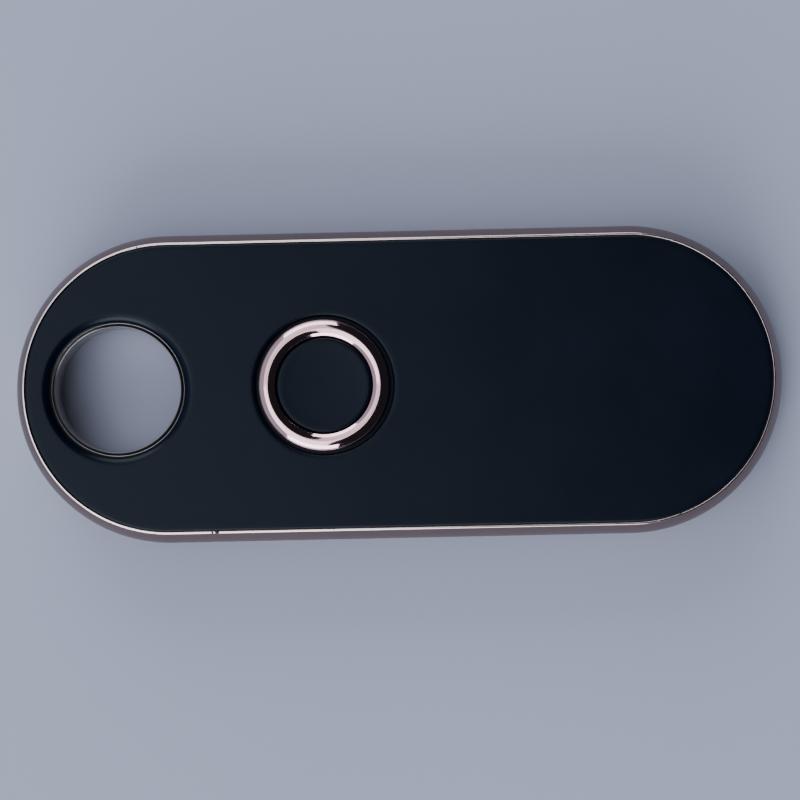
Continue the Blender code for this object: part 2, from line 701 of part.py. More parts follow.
def sounder(finishes):
    """The piezo sounder: an open-bottomed case with a mouth, and the brass plate and ceramic disc in it."""
    x = SOUNDER_RIGHT - SOUNDER_SIDE / 2
    y = -(BOARD_RADIUS - PART_GAP - SOUNDER_SIDE / 2)
    case = board_part(
        "sounder_case", (SOUNDER_SIDE, SOUNDER_SIDE, SOUNDER_HEIGHT), x, y, finishes["sounder"], 0.1 * MM
    )
    inner = SOUNDER_SIDE / 2 - SOUNDER_WALL
    roof = PART_BASE + SOUNDER_HEIGHT - SOUNDER_WALL
    room = disc("sounder_room", inner, roof, PART_BASE - MM, x, None, segments=32)
    mouth = disc("sounder_mouth", SOUNDER_MOUTH, roof + MM, roof - MM / 4, x, None, FINE_SEGMENTS)
    cut(case, room, mouth)
    plate_base = PART_BASE + 0.5 * MM
    plate = disc("sounder_plate", inner - SEAM, plate_base + 0.1 * MM, plate_base, x, finishes["brass"], 32)
    ceramic_base = plate_base + 0.1 * MM + FIT
    ceramic = disc("sounder_disc", inner * 0.7, ceramic_base + 0.12 * MM, ceramic_base, x, finishes["ceramic"], 32)
    for item in (room, mouth, plate, ceramic):
        item.location.y = y


# ---------------------------------------------------------------------------------------------------------
# Coin cell
# ---------------------------------------------------------------------------------------------------------
def coin_cell(finishes):
    """The cell: a can that is its plus pole, a cap that is its minus pole, the seal and the two electrodes."""
    radius = CELL_DIAMETER / 2
    inner = radius - CAN_SHEET
    cap_radius = radius - CELL_SEAL_WIDTH
    base = CELL_BASE
    can = [(0.0, CELL_TOP)]
    can += arc(radius - CAN_ROUND, CELL_TOP - CAN_ROUND, CAN_ROUND, 90.0, 0.0, 3)
    can += [
        (radius, base + 0.35 * MM),
        (radius - 0.25 * MM, base + 0.14 * MM),
        (cap_radius + 0.6 * MM, base + 0.14 * MM),
        (cap_radius + 0.6 * MM, base + 0.32 * MM),
        (inner, base + 0.42 * MM),
        (inner, CELL_TOP - CAN_SHEET),
        (0.0, CELL_TOP - CAN_SHEET),
    ]
    turned("cell_can", can, CELL_X, finishes["steel"])
    cap = [
        (0.0, base + CAN_SHEET),
        (cap_radius - 0.2 * MM, base + CAN_SHEET),
        (cap_radius, base + 1.0 * MM),
        (cap_radius + 0.25 * MM, base + 1.0 * MM),
        (cap_radius + 0.05 * MM, base + 0.15 * MM),
        (cap_radius - 0.15 * MM, base),
        (0.0, base),
    ]
    turned("cell_cap", cap, CELL_X, finishes["steel"])
    seal_top = base + 1.3 * MM
    washer("cell_gasket", cap_radius + 0.3 * MM, inner - FIT, seal_top, base + 0.47 * MM, CELL_X, finishes["seal"])
    anode_top = seal_top + 0.05 * MM
    disc("cell_anode", cap_radius - 0.5 * MM, anode_top, base + CAN_SHEET + FIT, CELL_X, finishes["lithium"], 32)
    cathode_top = CELL_TOP - CAN_SHEET - FIT
    disc("cell_cathode", inner - 0.6 * MM, cathode_top, anode_top + 0.15 * MM, CELL_X, finishes["cathode"], 32)


def cell_contacts(finish):
    """The plus contact, a blade against the can's side, and the minus contact, a leaf under the cap."""
    half = CONTACT_SHEET / 2
    foot = PART_BASE + half
    reach = CELL_LEFT - FIT - half
    tall = CELL_BASE + CELL_HEIGHT * 0.55
    blade = [
        (reach - 1.6 * MM, foot),
        (reach - 0.35 * MM, foot),
        (reach - 0.2 * MM, foot + 0.15 * MM),
        (reach - 0.45 * MM, (foot + tall) / 2),
        (reach, tall),
        (reach - 0.3 * MM, tall + 0.5 * MM),
    ]
    strip("positive_contact", blade, CONTACT_WIDTH, 0.0, finish)
    leaf_top = CELL_BASE - FIT - half
    leaf = [
        (CELL_X - 4.0 * MM, foot),
        (CELL_X - 1.0 * MM, foot),
        (CELL_X + 2.0 * MM, leaf_top),
        (CELL_X + 2.8 * MM, (foot + leaf_top) / 2),
    ]
    strip("negative_contact", leaf, CONTACT_WIDTH, 0.0, finish)


def build():
    clear_scene()
    rose_metal = material("rose_metal", (0.36, 0.27, 0.29), 0.38, 1.0)
    rose_polish = material("rose_polish", (0.83, 0.62, 0.60), 0.08, 1.0)
    black_shell = material("black_shell", (0.008, 0.011, 0.016), 0.42)
    dark_nickel = material("dark_nickel", (0.16, 0.17, 0.18), 0.25, 1.0)
    silicone = material("silicone", (0.05, 0.05, 0.055), 0.7)
    black_plastic = material("black_plastic", (0.015, 0.015, 0.017), 0.5)
    steel = material("steel", (0.6, 0.6, 0.6), 0.3, 1.0)
    spring_metal = material("spring_metal", (0.8, 0.68, 0.42), 0.25, 1.0)
    board_green = material("board_green", (0.01, 0.06, 0.03), 0.4)
    parts = {
        "chip": material("chip_black", (0.02, 0.02, 0.022), 0.6),
        "crystal": material("crystal_can", (0.7, 0.7, 0.68), 0.3, 1.0),
        "antenna": material("antenna_ceramic", (0.75, 0.76, 0.74), 0.5),
        "capacitor": material("capacitor_tan", (0.42, 0.27, 0.14), 0.5),
        "inductor": material("inductor_grey", (0.12, 0.12, 0.13), 0.5),
        "resistor": material("resistor_black", (0.02, 0.02, 0.02), 0.4),
        "sounder": black_plastic,
        "brass": material("brass", (0.75, 0.56, 0.25), 0.3, 1.0),
        "ceramic": material("piezo_ceramic", (0.8, 0.78, 0.7), 0.6),
    }
    cell = {
        "steel": steel,
        "seal": material("cell_seal", (0.05, 0.05, 0.05), 0.6),
        "lithium": material("lithium", (0.5, 0.5, 0.5), 0.5, 1.0),
        "cathode": material("cathode_black", (0.03, 0.03, 0.03), 0.9),
    }

    cover_lift = guide("cover_lift", (0.0, 0.0, COVER_BASE))
    button_press = guide("button_press", (BUTTON_X, 0.0, STEM_BASE), cover_lift)
    plunger_press = guide("plunger_press", (BUTTON_X, 0.0, PLUNGER_BASE))

    rim_frame(rose_metal)
    back_cover(black_shell)
    keyring_sleeve(dark_nickel)
    cover, helpers = front_cover(black_shell)
    retainer_hole = CAP_STEM_RADIUS + RETAINER_HOLE_GAP
    lifted = [
        cover,
        *helpers,
        cover_gasket(silicone),
        button_ring(rose_polish),
        washer(
            "button_retainer", retainer_hole, RECESS_RADIUS, RETAINER_TOP, RETAINER_BASE, BUTTON_X, black_plastic
        ),
    ]
    for item in lifted:
        attach(item, cover_lift)
    attach(button_cap(black_shell), button_press)
    pad = disc("button_pad", PAD_RADIUS, PAD_BASE + PAD_HEIGHT, PAD_BASE, BUTTON_X, silicone, FINE_SEGMENTS)
    attach(pad, button_press)

    switch_base(black_plastic)
    switch_dome(steel)
    attach(switch_plunger(black_plastic), plunger_press)
    switch_frame(steel)
    circuit_board(board_green)
    board_parts(parts)
    sounder(parts)
    coin_cell(cell)
    cell_contacts(spring_metal)


build()
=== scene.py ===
import json
import math

import bmesh
import bpy
from mathutils import Matrix, Vector


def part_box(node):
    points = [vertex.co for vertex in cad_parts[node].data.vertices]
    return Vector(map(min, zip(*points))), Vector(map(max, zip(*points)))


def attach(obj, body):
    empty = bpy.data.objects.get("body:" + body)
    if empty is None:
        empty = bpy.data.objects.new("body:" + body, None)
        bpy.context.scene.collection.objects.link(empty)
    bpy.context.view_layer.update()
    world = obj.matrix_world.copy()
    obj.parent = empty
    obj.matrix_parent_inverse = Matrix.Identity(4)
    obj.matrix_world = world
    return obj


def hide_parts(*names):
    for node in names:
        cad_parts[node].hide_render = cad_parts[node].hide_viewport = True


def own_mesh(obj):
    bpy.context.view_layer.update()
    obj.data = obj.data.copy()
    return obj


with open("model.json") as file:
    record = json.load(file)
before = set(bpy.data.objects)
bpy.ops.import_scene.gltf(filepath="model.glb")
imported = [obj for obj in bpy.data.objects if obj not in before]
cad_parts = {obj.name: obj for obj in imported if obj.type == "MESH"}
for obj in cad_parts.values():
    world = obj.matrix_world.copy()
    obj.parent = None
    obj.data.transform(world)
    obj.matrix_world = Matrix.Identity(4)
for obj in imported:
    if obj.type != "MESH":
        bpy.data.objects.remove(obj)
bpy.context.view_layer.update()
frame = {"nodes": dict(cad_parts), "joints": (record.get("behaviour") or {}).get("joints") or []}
mm = 0.001
weldGap = 1e-7  # points closer than this are one
slack = 0.001 * mm  # allowance where faces are picked by their place
print("frame loaded:", len(frame["nodes"]), "nodes")


def middle(node):
    low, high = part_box(node)
    return (low + high) / 2


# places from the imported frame, and the sizes that more than one piece uses
coverLow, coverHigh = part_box("front_cover")
rimLow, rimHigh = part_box("rim_frame")
sleeveLow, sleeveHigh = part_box("keyring_sleeve")
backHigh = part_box("back_cover")[1]
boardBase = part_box("circuit_board")[0].z
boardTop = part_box("circuit_board")[1].z
holeX = middle("keyring_sleeve").x
ringX = middle("button_ring").x
cellX = middle("cell_can").x
shell = {
    "seam": 0.08 * mm, "fit": 0.05 * mm, "edgeRound": 0.12 * mm, "wall": 0.9 * mm, "trayFloor": 0.8 * mm,
    "trayWall": 0.5 * mm, "holeRound": 0.7 * mm, "sleeveWall": 0.23 * mm, "shoulder": 0.25 * mm,
    "flange": 0.7 * mm, "sealWidth": 0.22 * mm, "capFlange": 0.6 * mm,
}
ringForm = {"width": 1.25 * mm, "stem": 0.5 * mm}  # the ring round the button
bore = {"radius": 4.75 * mm, "steps": 128}  # the keyring hole
coverRadius = coverHigh.y
reach = coverHigh.x - coverHigh.y  # from the middle to each end's centre
faceZ = coverHigh.z
coverBase = faceZ - shell["wall"]
flangeTop = coverBase - shell["fit"]
trayInner = coverRadius - shell["trayWall"]
sleeveRadius = bore["radius"] + shell["sleeveWall"]
holeRadius = sleeveRadius + shell["fit"]


class Wire:  # one shader value that Python's operators work on
    def __init__(self, sheet, socket):
        self.sheet = sheet
        self.socket = socket

    def sum(self, operation, first, second=0.0):  # any one Math node
        return self.sheet.node("ShaderNodeMath", {"operation": operation}, {0: first, 1: second})

    def __add__(self, other):
        return self.sum("ADD", self, other)

    def __sub__(self, other):
        return self.sum("SUBTRACT", self, other)

    def __rsub__(self, other):
        return self.sum("SUBTRACT", other, self)

    def __mul__(self, other):
        return self.sum("MULTIPLY", self, other)

    def __pow__(self, other):
        return self.sum("POWER", self, other)

    def __gt__(self, other):
        return self.sum("GREATER_THAN", self, other)

    def __lt__(self, other):
        return self.sum("LESS_THAN", self, other)

    __radd__ = __add__
    __rmul__ = __mul__

    def most(self, other):
        return self.sum("MAXIMUM", self, other)

    def fraction(self):
        return self.sum("FRACT", self)

    def floor(self):
        return self.sum("FLOOR", self)

    def over(self, low, high):  # 0 below low, 1 above high, smooth between
        return self.sheet.node(
            "ShaderNodeMapRange", {"interpolation_type": "SMOOTHSTEP"},
            {"Value": self, "From Min": low, "From Max": high},
        )


class Finish:  # one material and its Principled shader
    def __init__(self, name, **fixed):
        self.material = bpy.data.materials.new(name)
        self.material.use_nodes = True
        self.tree = self.material.node_tree
        self.shader = self.tree.nodes["Principled BSDF"]
        for socket, value in fixed.items():
            self.shader.inputs[socket.replace("_", " ")].default_value = value

    def node(self, kind, settings=None, values=None, output=0):
        made = self.tree.nodes.new(kind)
        for key, value in (settings or {}).items():
            setattr(made, key, value)
        for key, value in (values or {}).items():
            self.connect(value, made.inputs[key])
        return Wire(self, made.outputs[output])

    def connect(self, value, socket):
        if isinstance(value, Wire):
            self.tree.links.new(value.socket, socket)
        else:
            socket.default_value = value

    def place(self, scale=(1.0, 1.0, 1.0), shift=(0.0, 0.0, 0.0)):  # object coordinates in mm, then scaled
        spot = self.node("ShaderNodeTexCoord", output="Object")
        scaled = [s / mm for s in scale]
        moved = [-a * s / mm for a, s in zip(shift, scale)]
        return self.node("ShaderNodeMapping", values={"Vector": spot, "Scale": scaled, "Location": moved})

    def axes(self, spot):
        parts = self.node("ShaderNodeSeparateXYZ", values={"Vector": spot})
        return [Wire(self, socket) for socket in parts.socket.node.outputs]

    def noise(self, spot, scale, detail=3.0, roughness=0.55):
        values = {"Vector": spot, "Scale": scale, "Detail": detail, "Roughness": roughness}
        return self.node("ShaderNodeTexNoise", values=values)

    def cells(self, spot, scale):
        return self.node("ShaderNodeTexVoronoi", values={"Vector": spot, "Scale": scale})

    def patches(self, x, y, size):  # one chance value for each square patch
        corner = {"X": (x * (1.0 / size)).floor(), "Y": (y * (1.0 / size)).floor()}
        spot = self.node("ShaderNodeCombineXYZ", values=corner)
        return self.node("ShaderNodeTexWhiteNoise", values={"Vector": spot})

    def mix(self, factor, first, second):  # sockets 6, 7 and 2 are the colours
        return self.node("ShaderNodeMix", {"data_type": "RGBA"}, {0: factor, 6: first, 7: second}, output=2)

    def feed(self, socket, wire):
        self.connect(wire, self.shader.inputs[socket])

    def roughen(self, rough, first, firstSpread, second, secondSpread):  # varies round a mean of rough
        level = rough - (firstSpread + secondSpread) / 2  # noise averages a half
        self.feed("Roughness", first * firstSpread + second * secondSpread + level)

    def bump(self, height, distance):
        values = {"Height": height, "Distance": distance, "Strength": 1.0}
        self.feed("Normal", self.node("ShaderNodeBump", values=values))


def rgb(red, green, blue):
    return (red, green, blue, 1.0)


def blackShell():  # fine satin black, a trace of blue, a few specks of dust
    look = {"deep": rgb(0.0002, 0.0018, 0.0075), "wornAndHighlight": rgb(0.0006, 0.0028, 0.0100),
            "dust": rgb(0.06, 0.065, 0.07), "rough": 0.31}
    finish = Finish("blackShell", Specular_IOR_Level=0.21, Specular_Tint=rgb(0.75, 0.88, 1.0))
    spot = finish.place()
    cloud = finish.noise(spot, 0.16, 4.0)
    grain = finish.noise(spot, 14.0, 2.0)
    dust = finish.cells(spot, 0.55) < 0.016
    shade = finish.mix(cloud.over(0.35, 0.7), look["deep"], look["wornAndHighlight"])
    finish.feed("Base Color", finish.mix(dust * 0.5, shade, look["dust"]))
    finish.roughen(look["rough"], cloud, 0.08, grain, 0.05)
    finish.bump(grain, 0.0015 * mm)
    return finish.material


def roseSatin():  # the band: rose-mauve plating, drawn very finely along the edge
    look = {"light": rgb(0.235, 0.167, 0.156), "dark": rgb(0.195, 0.139, 0.130), "rough": 0.42}
    finish = Finish("roseSatin", Metallic=1.0)
    drawn = finish.noise(finish.place((0.35, 0.35, 16.0)), 1.0)
    cloud = finish.noise(finish.place(), 0.3)
    finish.feed("Base Color", finish.mix(cloud * 0.7 + drawn * 0.3, look["dark"], look["light"]))
    finish.roughen(look["rough"], drawn, 0.08, cloud, 0.06)
    finish.bump(drawn, 0.0012 * mm)
    return finish.material


def rosePolish():  # mirror-bright rose gold with faint handling marks
    look = {"light": rgb(0.92, 0.63, 0.71), "dark": rgb(0.85, 0.54, 0.62), "rough": 0.045}
    finish = Finish("rosePolish", Metallic=1.0)
    cloud = finish.noise(finish.place(), 0.8)
    hairs = finish.noise(finish.place((9.0, 0.7, 2.0)), 1.0, 4.0, 0.7)
    finish.feed("Base Color", finish.mix(cloud, look["dark"], look["light"]))
    finish.feed("Roughness", cloud * 0.05 + hairs.over(0.62, 0.8) * 0.1 + look["rough"])
    finish.bump(hairs, 0.0004 * mm)
    return finish.material


def lipPolish():  # the polished lip, with small nicks where it has been knocked
    look = {
        "light": rgb(0.93, 0.82, 0.83), "dark": rgb(0.82, 0.70, 0.71), "nick": rgb(0.05, 0.04, 0.045),
        "rough": 0.08,
        "nicks": (  # places and sizes in mm
            (-13.85, -10.86, 0.16), (-14.2, -10.9, 0.08), (20.9, -10.15, 0.12),
            (-20.4, -10.35, 0.06), (26.9, -4.9, 0.1), (27.75, 1.6, 0.09)),
    }
    finish = Finish("lipPolish", Metallic=1.0)
    spot = finish.place()
    x, y = finish.axes(spot)[:2]
    cloud = finish.noise(spot, 0.5, 2.0)
    nick = finish.noise(spot, 1.1, 4.0, 0.7).over(0.66, 0.72)
    for placeX, placeY, size in look["nicks"]:
        away = (x - placeX) ** 2.0 + (y - placeY) ** 2.0
        nick = nick.most(away < size**2)
    polish = finish.mix(cloud, look["dark"], look["light"])
    finish.feed("Base Color", finish.mix(nick, polish, look["nick"]))
    finish.feed("Roughness", cloud * 0.08 + nick * 0.4 + look["rough"])
    finish.bump(1.0 - nick, 0.01 * mm)
    return finish.material


def darkNickel():  # the keyring hole's liner, darkest on its lip, with a painted highlight: the lip's upper-left side is painted near white
    look = {
        "wall": rgb(0.40, 0.385, 0.395), "rubbed": rgb(0.56, 0.54, 0.55), "lip": rgb(0.13, 0.13, 0.14),
        # the near-white colour on the next line is a painted highlight for the lip's upper-left side
        "wornAndHighlight": rgb(0.95, 0.94, 0.93), "rough": 0.31,
        "lipDepth": (-0.24, -0.17), "highlightFrom": (3.9, 4.75),  # in mm from the top and from the hole's axis
    }
    finish = Finish("darkNickel", Metallic=1.0)
    x, y, z = finish.axes(finish.place(shift=(holeX, 0.0, sleeveHigh.z)))
    onLip = z.over(*look["lipDepth"])
    # painted highlight: on the lip, the side towards the upper left (-x, +y) is painted near white
    wornAndHighlight = onLip * ((y - x) * math.sqrt(0.5)).over(*look["highlightFrom"])
    rubbed = finish.noise(finish.place((0.6, 0.6, 5.0)), 1.0, 4.0, 0.6)
    fine = finish.noise(finish.place((0.8, 0.8, 30.0)), 1.0, 2.0)
    wall = finish.mix(rubbed.over(0.4, 0.75), look["wall"], look["rubbed"])
    # the painted highlight goes over the wall and lip colours
    finish.feed("Base Color", finish.mix(wornAndHighlight, finish.mix(onLip, wall, look["lip"]), look["wornAndHighlight"]))
    finish.roughen(look["rough"], rubbed, 0.12, fine, 0.1)
    finish.bump(fine, 0.0015 * mm)
    return finish.material


def cellSteel():  # turned lines round the cell's axis
    look = {"light": rgb(0.70, 0.70, 0.69), "dark": rgb(0.58, 0.58, 0.57), "rough": 0.28}
    finish = Finish("cellSteel", Metallic=1.0)
    x, y = finish.axes(finish.place(shift=(cellX, 0.0, 0.0)))[:2]
    radius = (x * x + y * y) ** 0.5
    turned = {"W": radius, "Scale": 9.0, "Detail": 4.0}
    lines = finish.node("ShaderNodeTexNoise", {"noise_dimensions": "1D"}, turned)
    stain = finish.noise(finish.place(), 0.35, 4.0)
    finish.feed("Base Color", finish.mix(stain.over(0.35, 0.7), look["light"], look["dark"]))
    finish.roughen(look["rough"], lines, 0.16, stain, 0.08)
    finish.bump(lines, 0.003 * mm)
    return finish.material


def solderMask():  # green mask over copper: the tracks are paler and raised, and the weave shows faintly
    look = {
        "mask": rgb(0.008, 0.058, 0.026), "track": rgb(0.016, 0.115, 0.048),
        "weave": rgb(0.004, 0.03, 0.014), "rough": 0.3,
        "patch": 2.6, "tracksPerMm": 1.9, "slantsPerMm": 1.35, "trackShare": 0.3,
    }
    finish = Finish("solderMask", Coat_Weight=0.3, Coat_Roughness=0.15)
    spot = finish.place()
    x, y = finish.axes(spot)[:2]
    chance = finish.patches(x + y * 0.5, y - x * 0.5, look["patch"])
    upright = (x * look["tracksPerMm"]).fraction() < look["trackShare"]
    level = (y * look["tracksPerMm"]).fraction() < look["trackShare"]
    slant = ((x + y) * look["slantsPerMm"]).fraction() < look["trackShare"]
    tracks = upright * (chance < 0.3) + level * ((chance > 0.3) * (chance < 0.58)) + slant * (chance > 0.82)
    tracks = tracks * finish.noise(spot, 0.12, 1.0).over(0.42, 0.44)  # only in some zones
    weave = finish.noise(spot, 6.0, 2.0)
    green = finish.mix(tracks, look["mask"], look["track"])
    finish.feed("Base Color", finish.mix(weave * 0.25, green, look["weave"]))
    finish.feed("Roughness", weave * 0.12 + look["rough"])
    finish.bump(tracks + weave * 0.15, 0.012 * mm)
    return finish.material


def mouldedFinish(name, light, dark, rough, grainSize=9.0, depth=0.004):  # plastic, rubber or ceramic
    finish = Finish(name)
    grain = finish.noise(finish.place(), grainSize)
    cloud = finish.noise(finish.place(), 0.7)
    finish.feed("Base Color", finish.mix(cloud * 0.6 + grain * 0.4, rgb(*dark), rgb(*light)))
    finish.roughen(rough, grain, 0.14, cloud, 0.06)
    finish.bump(grain, depth * mm)
    return finish.material


def metalFinish(name, light, dark, rough, lines=(1.0, 8.0, 8.0)):  # sheet metal with its rolling lines
    finish = Finish(name, Metallic=1.0)
    drawn = finish.noise(finish.place(lines), 1.5)
    stain = finish.noise(finish.place(), 0.9)
    finish.feed("Base Color", finish.mix(stain.over(0.3, 0.75), rgb(*light), rgb(*dark)))
    finish.roughen(rough, drawn, 0.12, stain, 0.08)
    finish.bump(drawn, 0.002 * mm)
    return finish.material


mouldedLooks = {  # light colour, dark colour, roughness, then the grain's fineness and its depth in mm
    "silicone": ((0.060, 0.060, 0.064), (0.034, 0.034, 0.038), 0.72, 6.0),
    "blackPlastic": ((0.020, 0.020, 0.022), (0.010, 0.010, 0.012), 0.5),
    "chipBlack": ((0.030, 0.030, 0.033), (0.016, 0.016, 0.018), 0.62, 20.0),
    "antennaCeramic": ((0.40, 0.52, 0.56), (0.33, 0.44, 0.48), 0.5),
    "capacitorTan": ((0.46, 0.29, 0.15), (0.34, 0.21, 0.11), 0.45, 16.0),
    "inductorGrey": ((0.15, 0.15, 0.16), (0.09, 0.09, 0.10), 0.5, 16.0),
    "resistorBlack": ((0.022, 0.022, 0.024), (0.012, 0.012, 0.013), 0.3, 16.0),
    "whiteCeramic": ((0.80, 0.78, 0.72), (0.68, 0.66, 0.60), 0.6),
    "cellSeal": ((0.060, 0.060, 0.062), (0.035, 0.035, 0.037), 0.6),
    "lithium": ((0.55, 0.55, 0.56), (0.40, 0.40, 0.42), 0.5, 4.0),
    "cathodeBlack": ((0.045, 0.043, 0.042), (0.022, 0.021, 0.020), 0.9, 12.0, 0.012),
}
metalLooks = {  # light colour, dark colour, roughness, then how close the rolling lines lie on each axis
    "etchedSteel": ((0.15, 0.15, 0.15), (0.10, 0.10, 0.10), 0.55),
    "tin": ((0.74, 0.74, 0.75), (0.60, 0.60, 0.62), 0.32),
    "steel": ((0.68, 0.68, 0.68), (0.56, 0.56, 0.57), 0.3, (1.0, 10.0, 10.0)),
    "crystalLid": ((0.76, 0.75, 0.72), (0.66, 0.65, 0.62), 0.26, (7.0, 1.0, 1.0)),
    "springMetal": ((0.86, 0.70, 0.42), (0.72, 0.57, 0.33), 0.27, (1.0, 9.0, 9.0)),
    "padGold": ((0.88, 0.68, 0.34), (0.78, 0.58, 0.28), 0.3),
    "brass": ((0.78, 0.60, 0.28), (0.64, 0.47, 0.21), 0.3),
}
finishes = {  # every finish by its name
    "blackShell": blackShell(),
    "roseSatin": roseSatin(),
    "rosePolish": rosePolish(),
    "lipPolish": lipPolish(),
    "darkNickel": darkNickel(),
    "cellSteel": cellSteel(),
    "solderMask": solderMask(),
}
for name, look in mouldedLooks.items():
    finishes[name] = mouldedFinish(name, *look)
for name, look in metalLooks.items():
    finishes[name] = metalFinish(name, *look)
print("finishes made:", len(finishes))


def arcPoints(centreR, centreZ, radius, start, end, steps):  # angles in degrees, from outwards towards up
    spread = [math.radians(start + (end - start) * step / steps) for step in range(steps + 1)]
    return [(centreR + radius * math.cos(a), centreZ + radius * math.sin(a)) for a in spread]


def joinUp(bm, verts, closed):
    pairs = list(zip(verts, verts[1:]))
    if closed:
        pairs.append((verts[-1], verts[0]))
    return [bm.edges.new(pair) for pair in pairs]


def drawLoop(bm, points, z):  # a closed outline lying at one height
    return joinUp(bm, [bm.verts.new((x, y, z)) for x, y in points], True)


def extend(bm, edges, move):  # extrudes a row of edges and gives the new row
    grown = bmesh.ops.extrude_edge_only(bm, edges=edges)["geom"]
    fresh = {item for item in grown if isinstance(item, bmesh.types.BMVert)}
    bmesh.ops.translate(bm, verts=list(fresh), vec=move)
    return [e for e in grown if isinstance(e, bmesh.types.BMEdge) and set(e.verts) <= fresh]


def sweepStadium(bm, points, reach, closed=False, steps=72):  # carries a profile round the stadium outline
    verts = [bm.verts.new((-reach, r, z)) for r, z in points]
    row = joinUp(bm, verts, closed)
    for side in (1.0, -1.0):
        for share in (0.01, 0.98, 0.01):  # narrow strips beside the ends keep the straights' shading even
            row = extend(bm, row, (2.0 * reach * side * share, 0.0, 0.0))
        ends = list({v for e in row for v in e.verts})
        turn = bmesh.ops.spin(
            bm, geom=ends + row, cent=(reach * side, 0.0, 0.0), axis=(0.0, 0.0, 1.0), angle=-math.pi,
            steps=steps)
        row = [item for item in turn["geom_last"] if isinstance(item, bmesh.types.BMEdge)]
    bmesh.ops.remove_doubles(bm, verts=bm.verts[:], dist=weldGap)


def revolve(bm, centre, points, closed=False, steps=96):  # turns a profile round an upright axis
    verts = [bm.verts.new((centre[0] + r, centre[1], z)) for r, z in points]
    edges = joinUp(bm, verts, closed)
    bmesh.ops.spin(
        bm, geom=verts + edges, cent=(centre[0], centre[1], 0.0), axis=(0.0, 0.0, 1.0), angle=math.tau,
        steps=steps, use_merge=True)
    bmesh.ops.remove_doubles(bm, verts=bm.verts[:], dist=weldGap)


def fillLevel(bm, height):  # closes the flat face between all the open outlines at one height
    rims = [e for e in bm.edges if e.is_boundary and all(abs(v.co.z - height) < weldGap for v in e.verts)]
    bmesh.ops.triangle_fill(bm, edges=rims, use_beauty=True)


def pushDown(bm, loop, depth):  # a closed outline becomes a shallow pocket in a top, or a rib under a base
    bmesh.ops.contextual_create(bm, geom=extend(bm, loop, (0.0, 0.0, -depth)))


def circle(bm, centre, radius, z, steps=32):
    return drawLoop(bm, arcPoints(centre[0], centre[1], radius, 0.0, 360.0, steps)[:-1], z)


def roundedRectangle(bm, centre, size, corner, z, steps=4):
    halfX, halfY = size[0] / 2 - corner, size[1] / 2 - corner
    points = []
    for index, (sideX, sideY) in enumerate(((1, 1), (-1, 1), (-1, -1), (1, -1))):
        start = 90.0 * index
        points += arcPoints(
            centre.x + sideX * halfX, centre.y + sideY * halfY, corner, start, start + 90.0, steps)
    return drawLoop(bm, points, z)


def slab(bm, centre, size, corner, levels, openTop=False, openBase=False):  # levels: (inset, z), base first
    loops = []
    for inset, z in levels:
        inside = (size[0] - 2 * inset, size[1] - 2 * inset)
        loops.append(roundedRectangle(bm, centre, inside, max(corner - inset, 0.02 * mm), z))
    for lower, upper in zip(loops, loops[1:]):
        bmesh.ops.bridge_loops(bm, edges=lower + upper)
    if not openBase:
        bmesh.ops.contextual_create(bm, geom=loops[0])
    if not openTop:
        bmesh.ops.contextual_create(bm, geom=loops[-1])


def block(bm, centre, size, edge=0.0):  # a block, with rounded edges where edge is given
    made = bmesh.ops.create_cube(bm, size=1.0)["verts"]
    bmesh.ops.scale(bm, vec=size, verts=made)
    if edge:
        edges = list({e for v in made for e in v.link_edges})
        cut = bmesh.ops.bevel(
            bm, geom=edges, offset=edge, segments=2, profile=0.5, affect="EDGES", material=-1)
        made = list({v for f in cut["faces"] for v in f.verts} | {v for v in made if v.is_valid})
    bmesh.ops.translate(bm, verts=made, vec=centre)


def scoreEnds(bm, centre, normal, away):  # cuts the faces along a line near each end, so an end can differ
    for side in (-1.0, 1.0):
        everything = bm.verts[:] + bm.edges[:] + bm.faces[:]
        bmesh.ops.bisect_plane(
            bm, geom=everything, plane_co=centre + normal * side * away, plane_no=normal)


def softBends(points, radius, steps=5):  # a polyline with its corners rounded
    path = [Vector(points[0])]
    for before, corner, after in zip(points, points[1:], points[2:]):
        before, corner, after = Vector(before), Vector(corner), Vector(after)
        reachBack = min(radius, (before - corner).length * 0.45)
        reachOn = min(radius, (after - corner).length * 0.45)
        start = corner + (before - corner).normalized() * reachBack
        end = corner + (after - corner).normalized() * reachOn
        for step in range(steps + 1):
            t = step / steps
            path.append(start.lerp(corner, t).lerp(corner.lerp(end, t), t))
    return path + [Vector(points[-1])]


def finishPiece(name, bm, material, body, slot, *nodes, sharp=32.0, second=None, secondTest=None):
    bmesh.ops.recalc_face_normals(bm, faces=bm.faces[:])
    if secondTest:
        for face in bm.faces:
            face.material_index = int(secondTest(face))
    mesh = bpy.data.meshes.new(name)
    bm.to_mesh(mesh)
    bm.free()
    mesh.shade_smooth()
    mesh.set_sharp_from_angle(angle=math.radians(sharp))
    mesh.materials.append(finishes[material])
    if second:
        mesh.materials.append(finishes[second])
    piece = bpy.data.objects.new(name, mesh)
    bpy.context.scene.collection.objects.link(piece)
    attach(piece, body)
    if nodes:
        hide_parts(*nodes)
    return piece


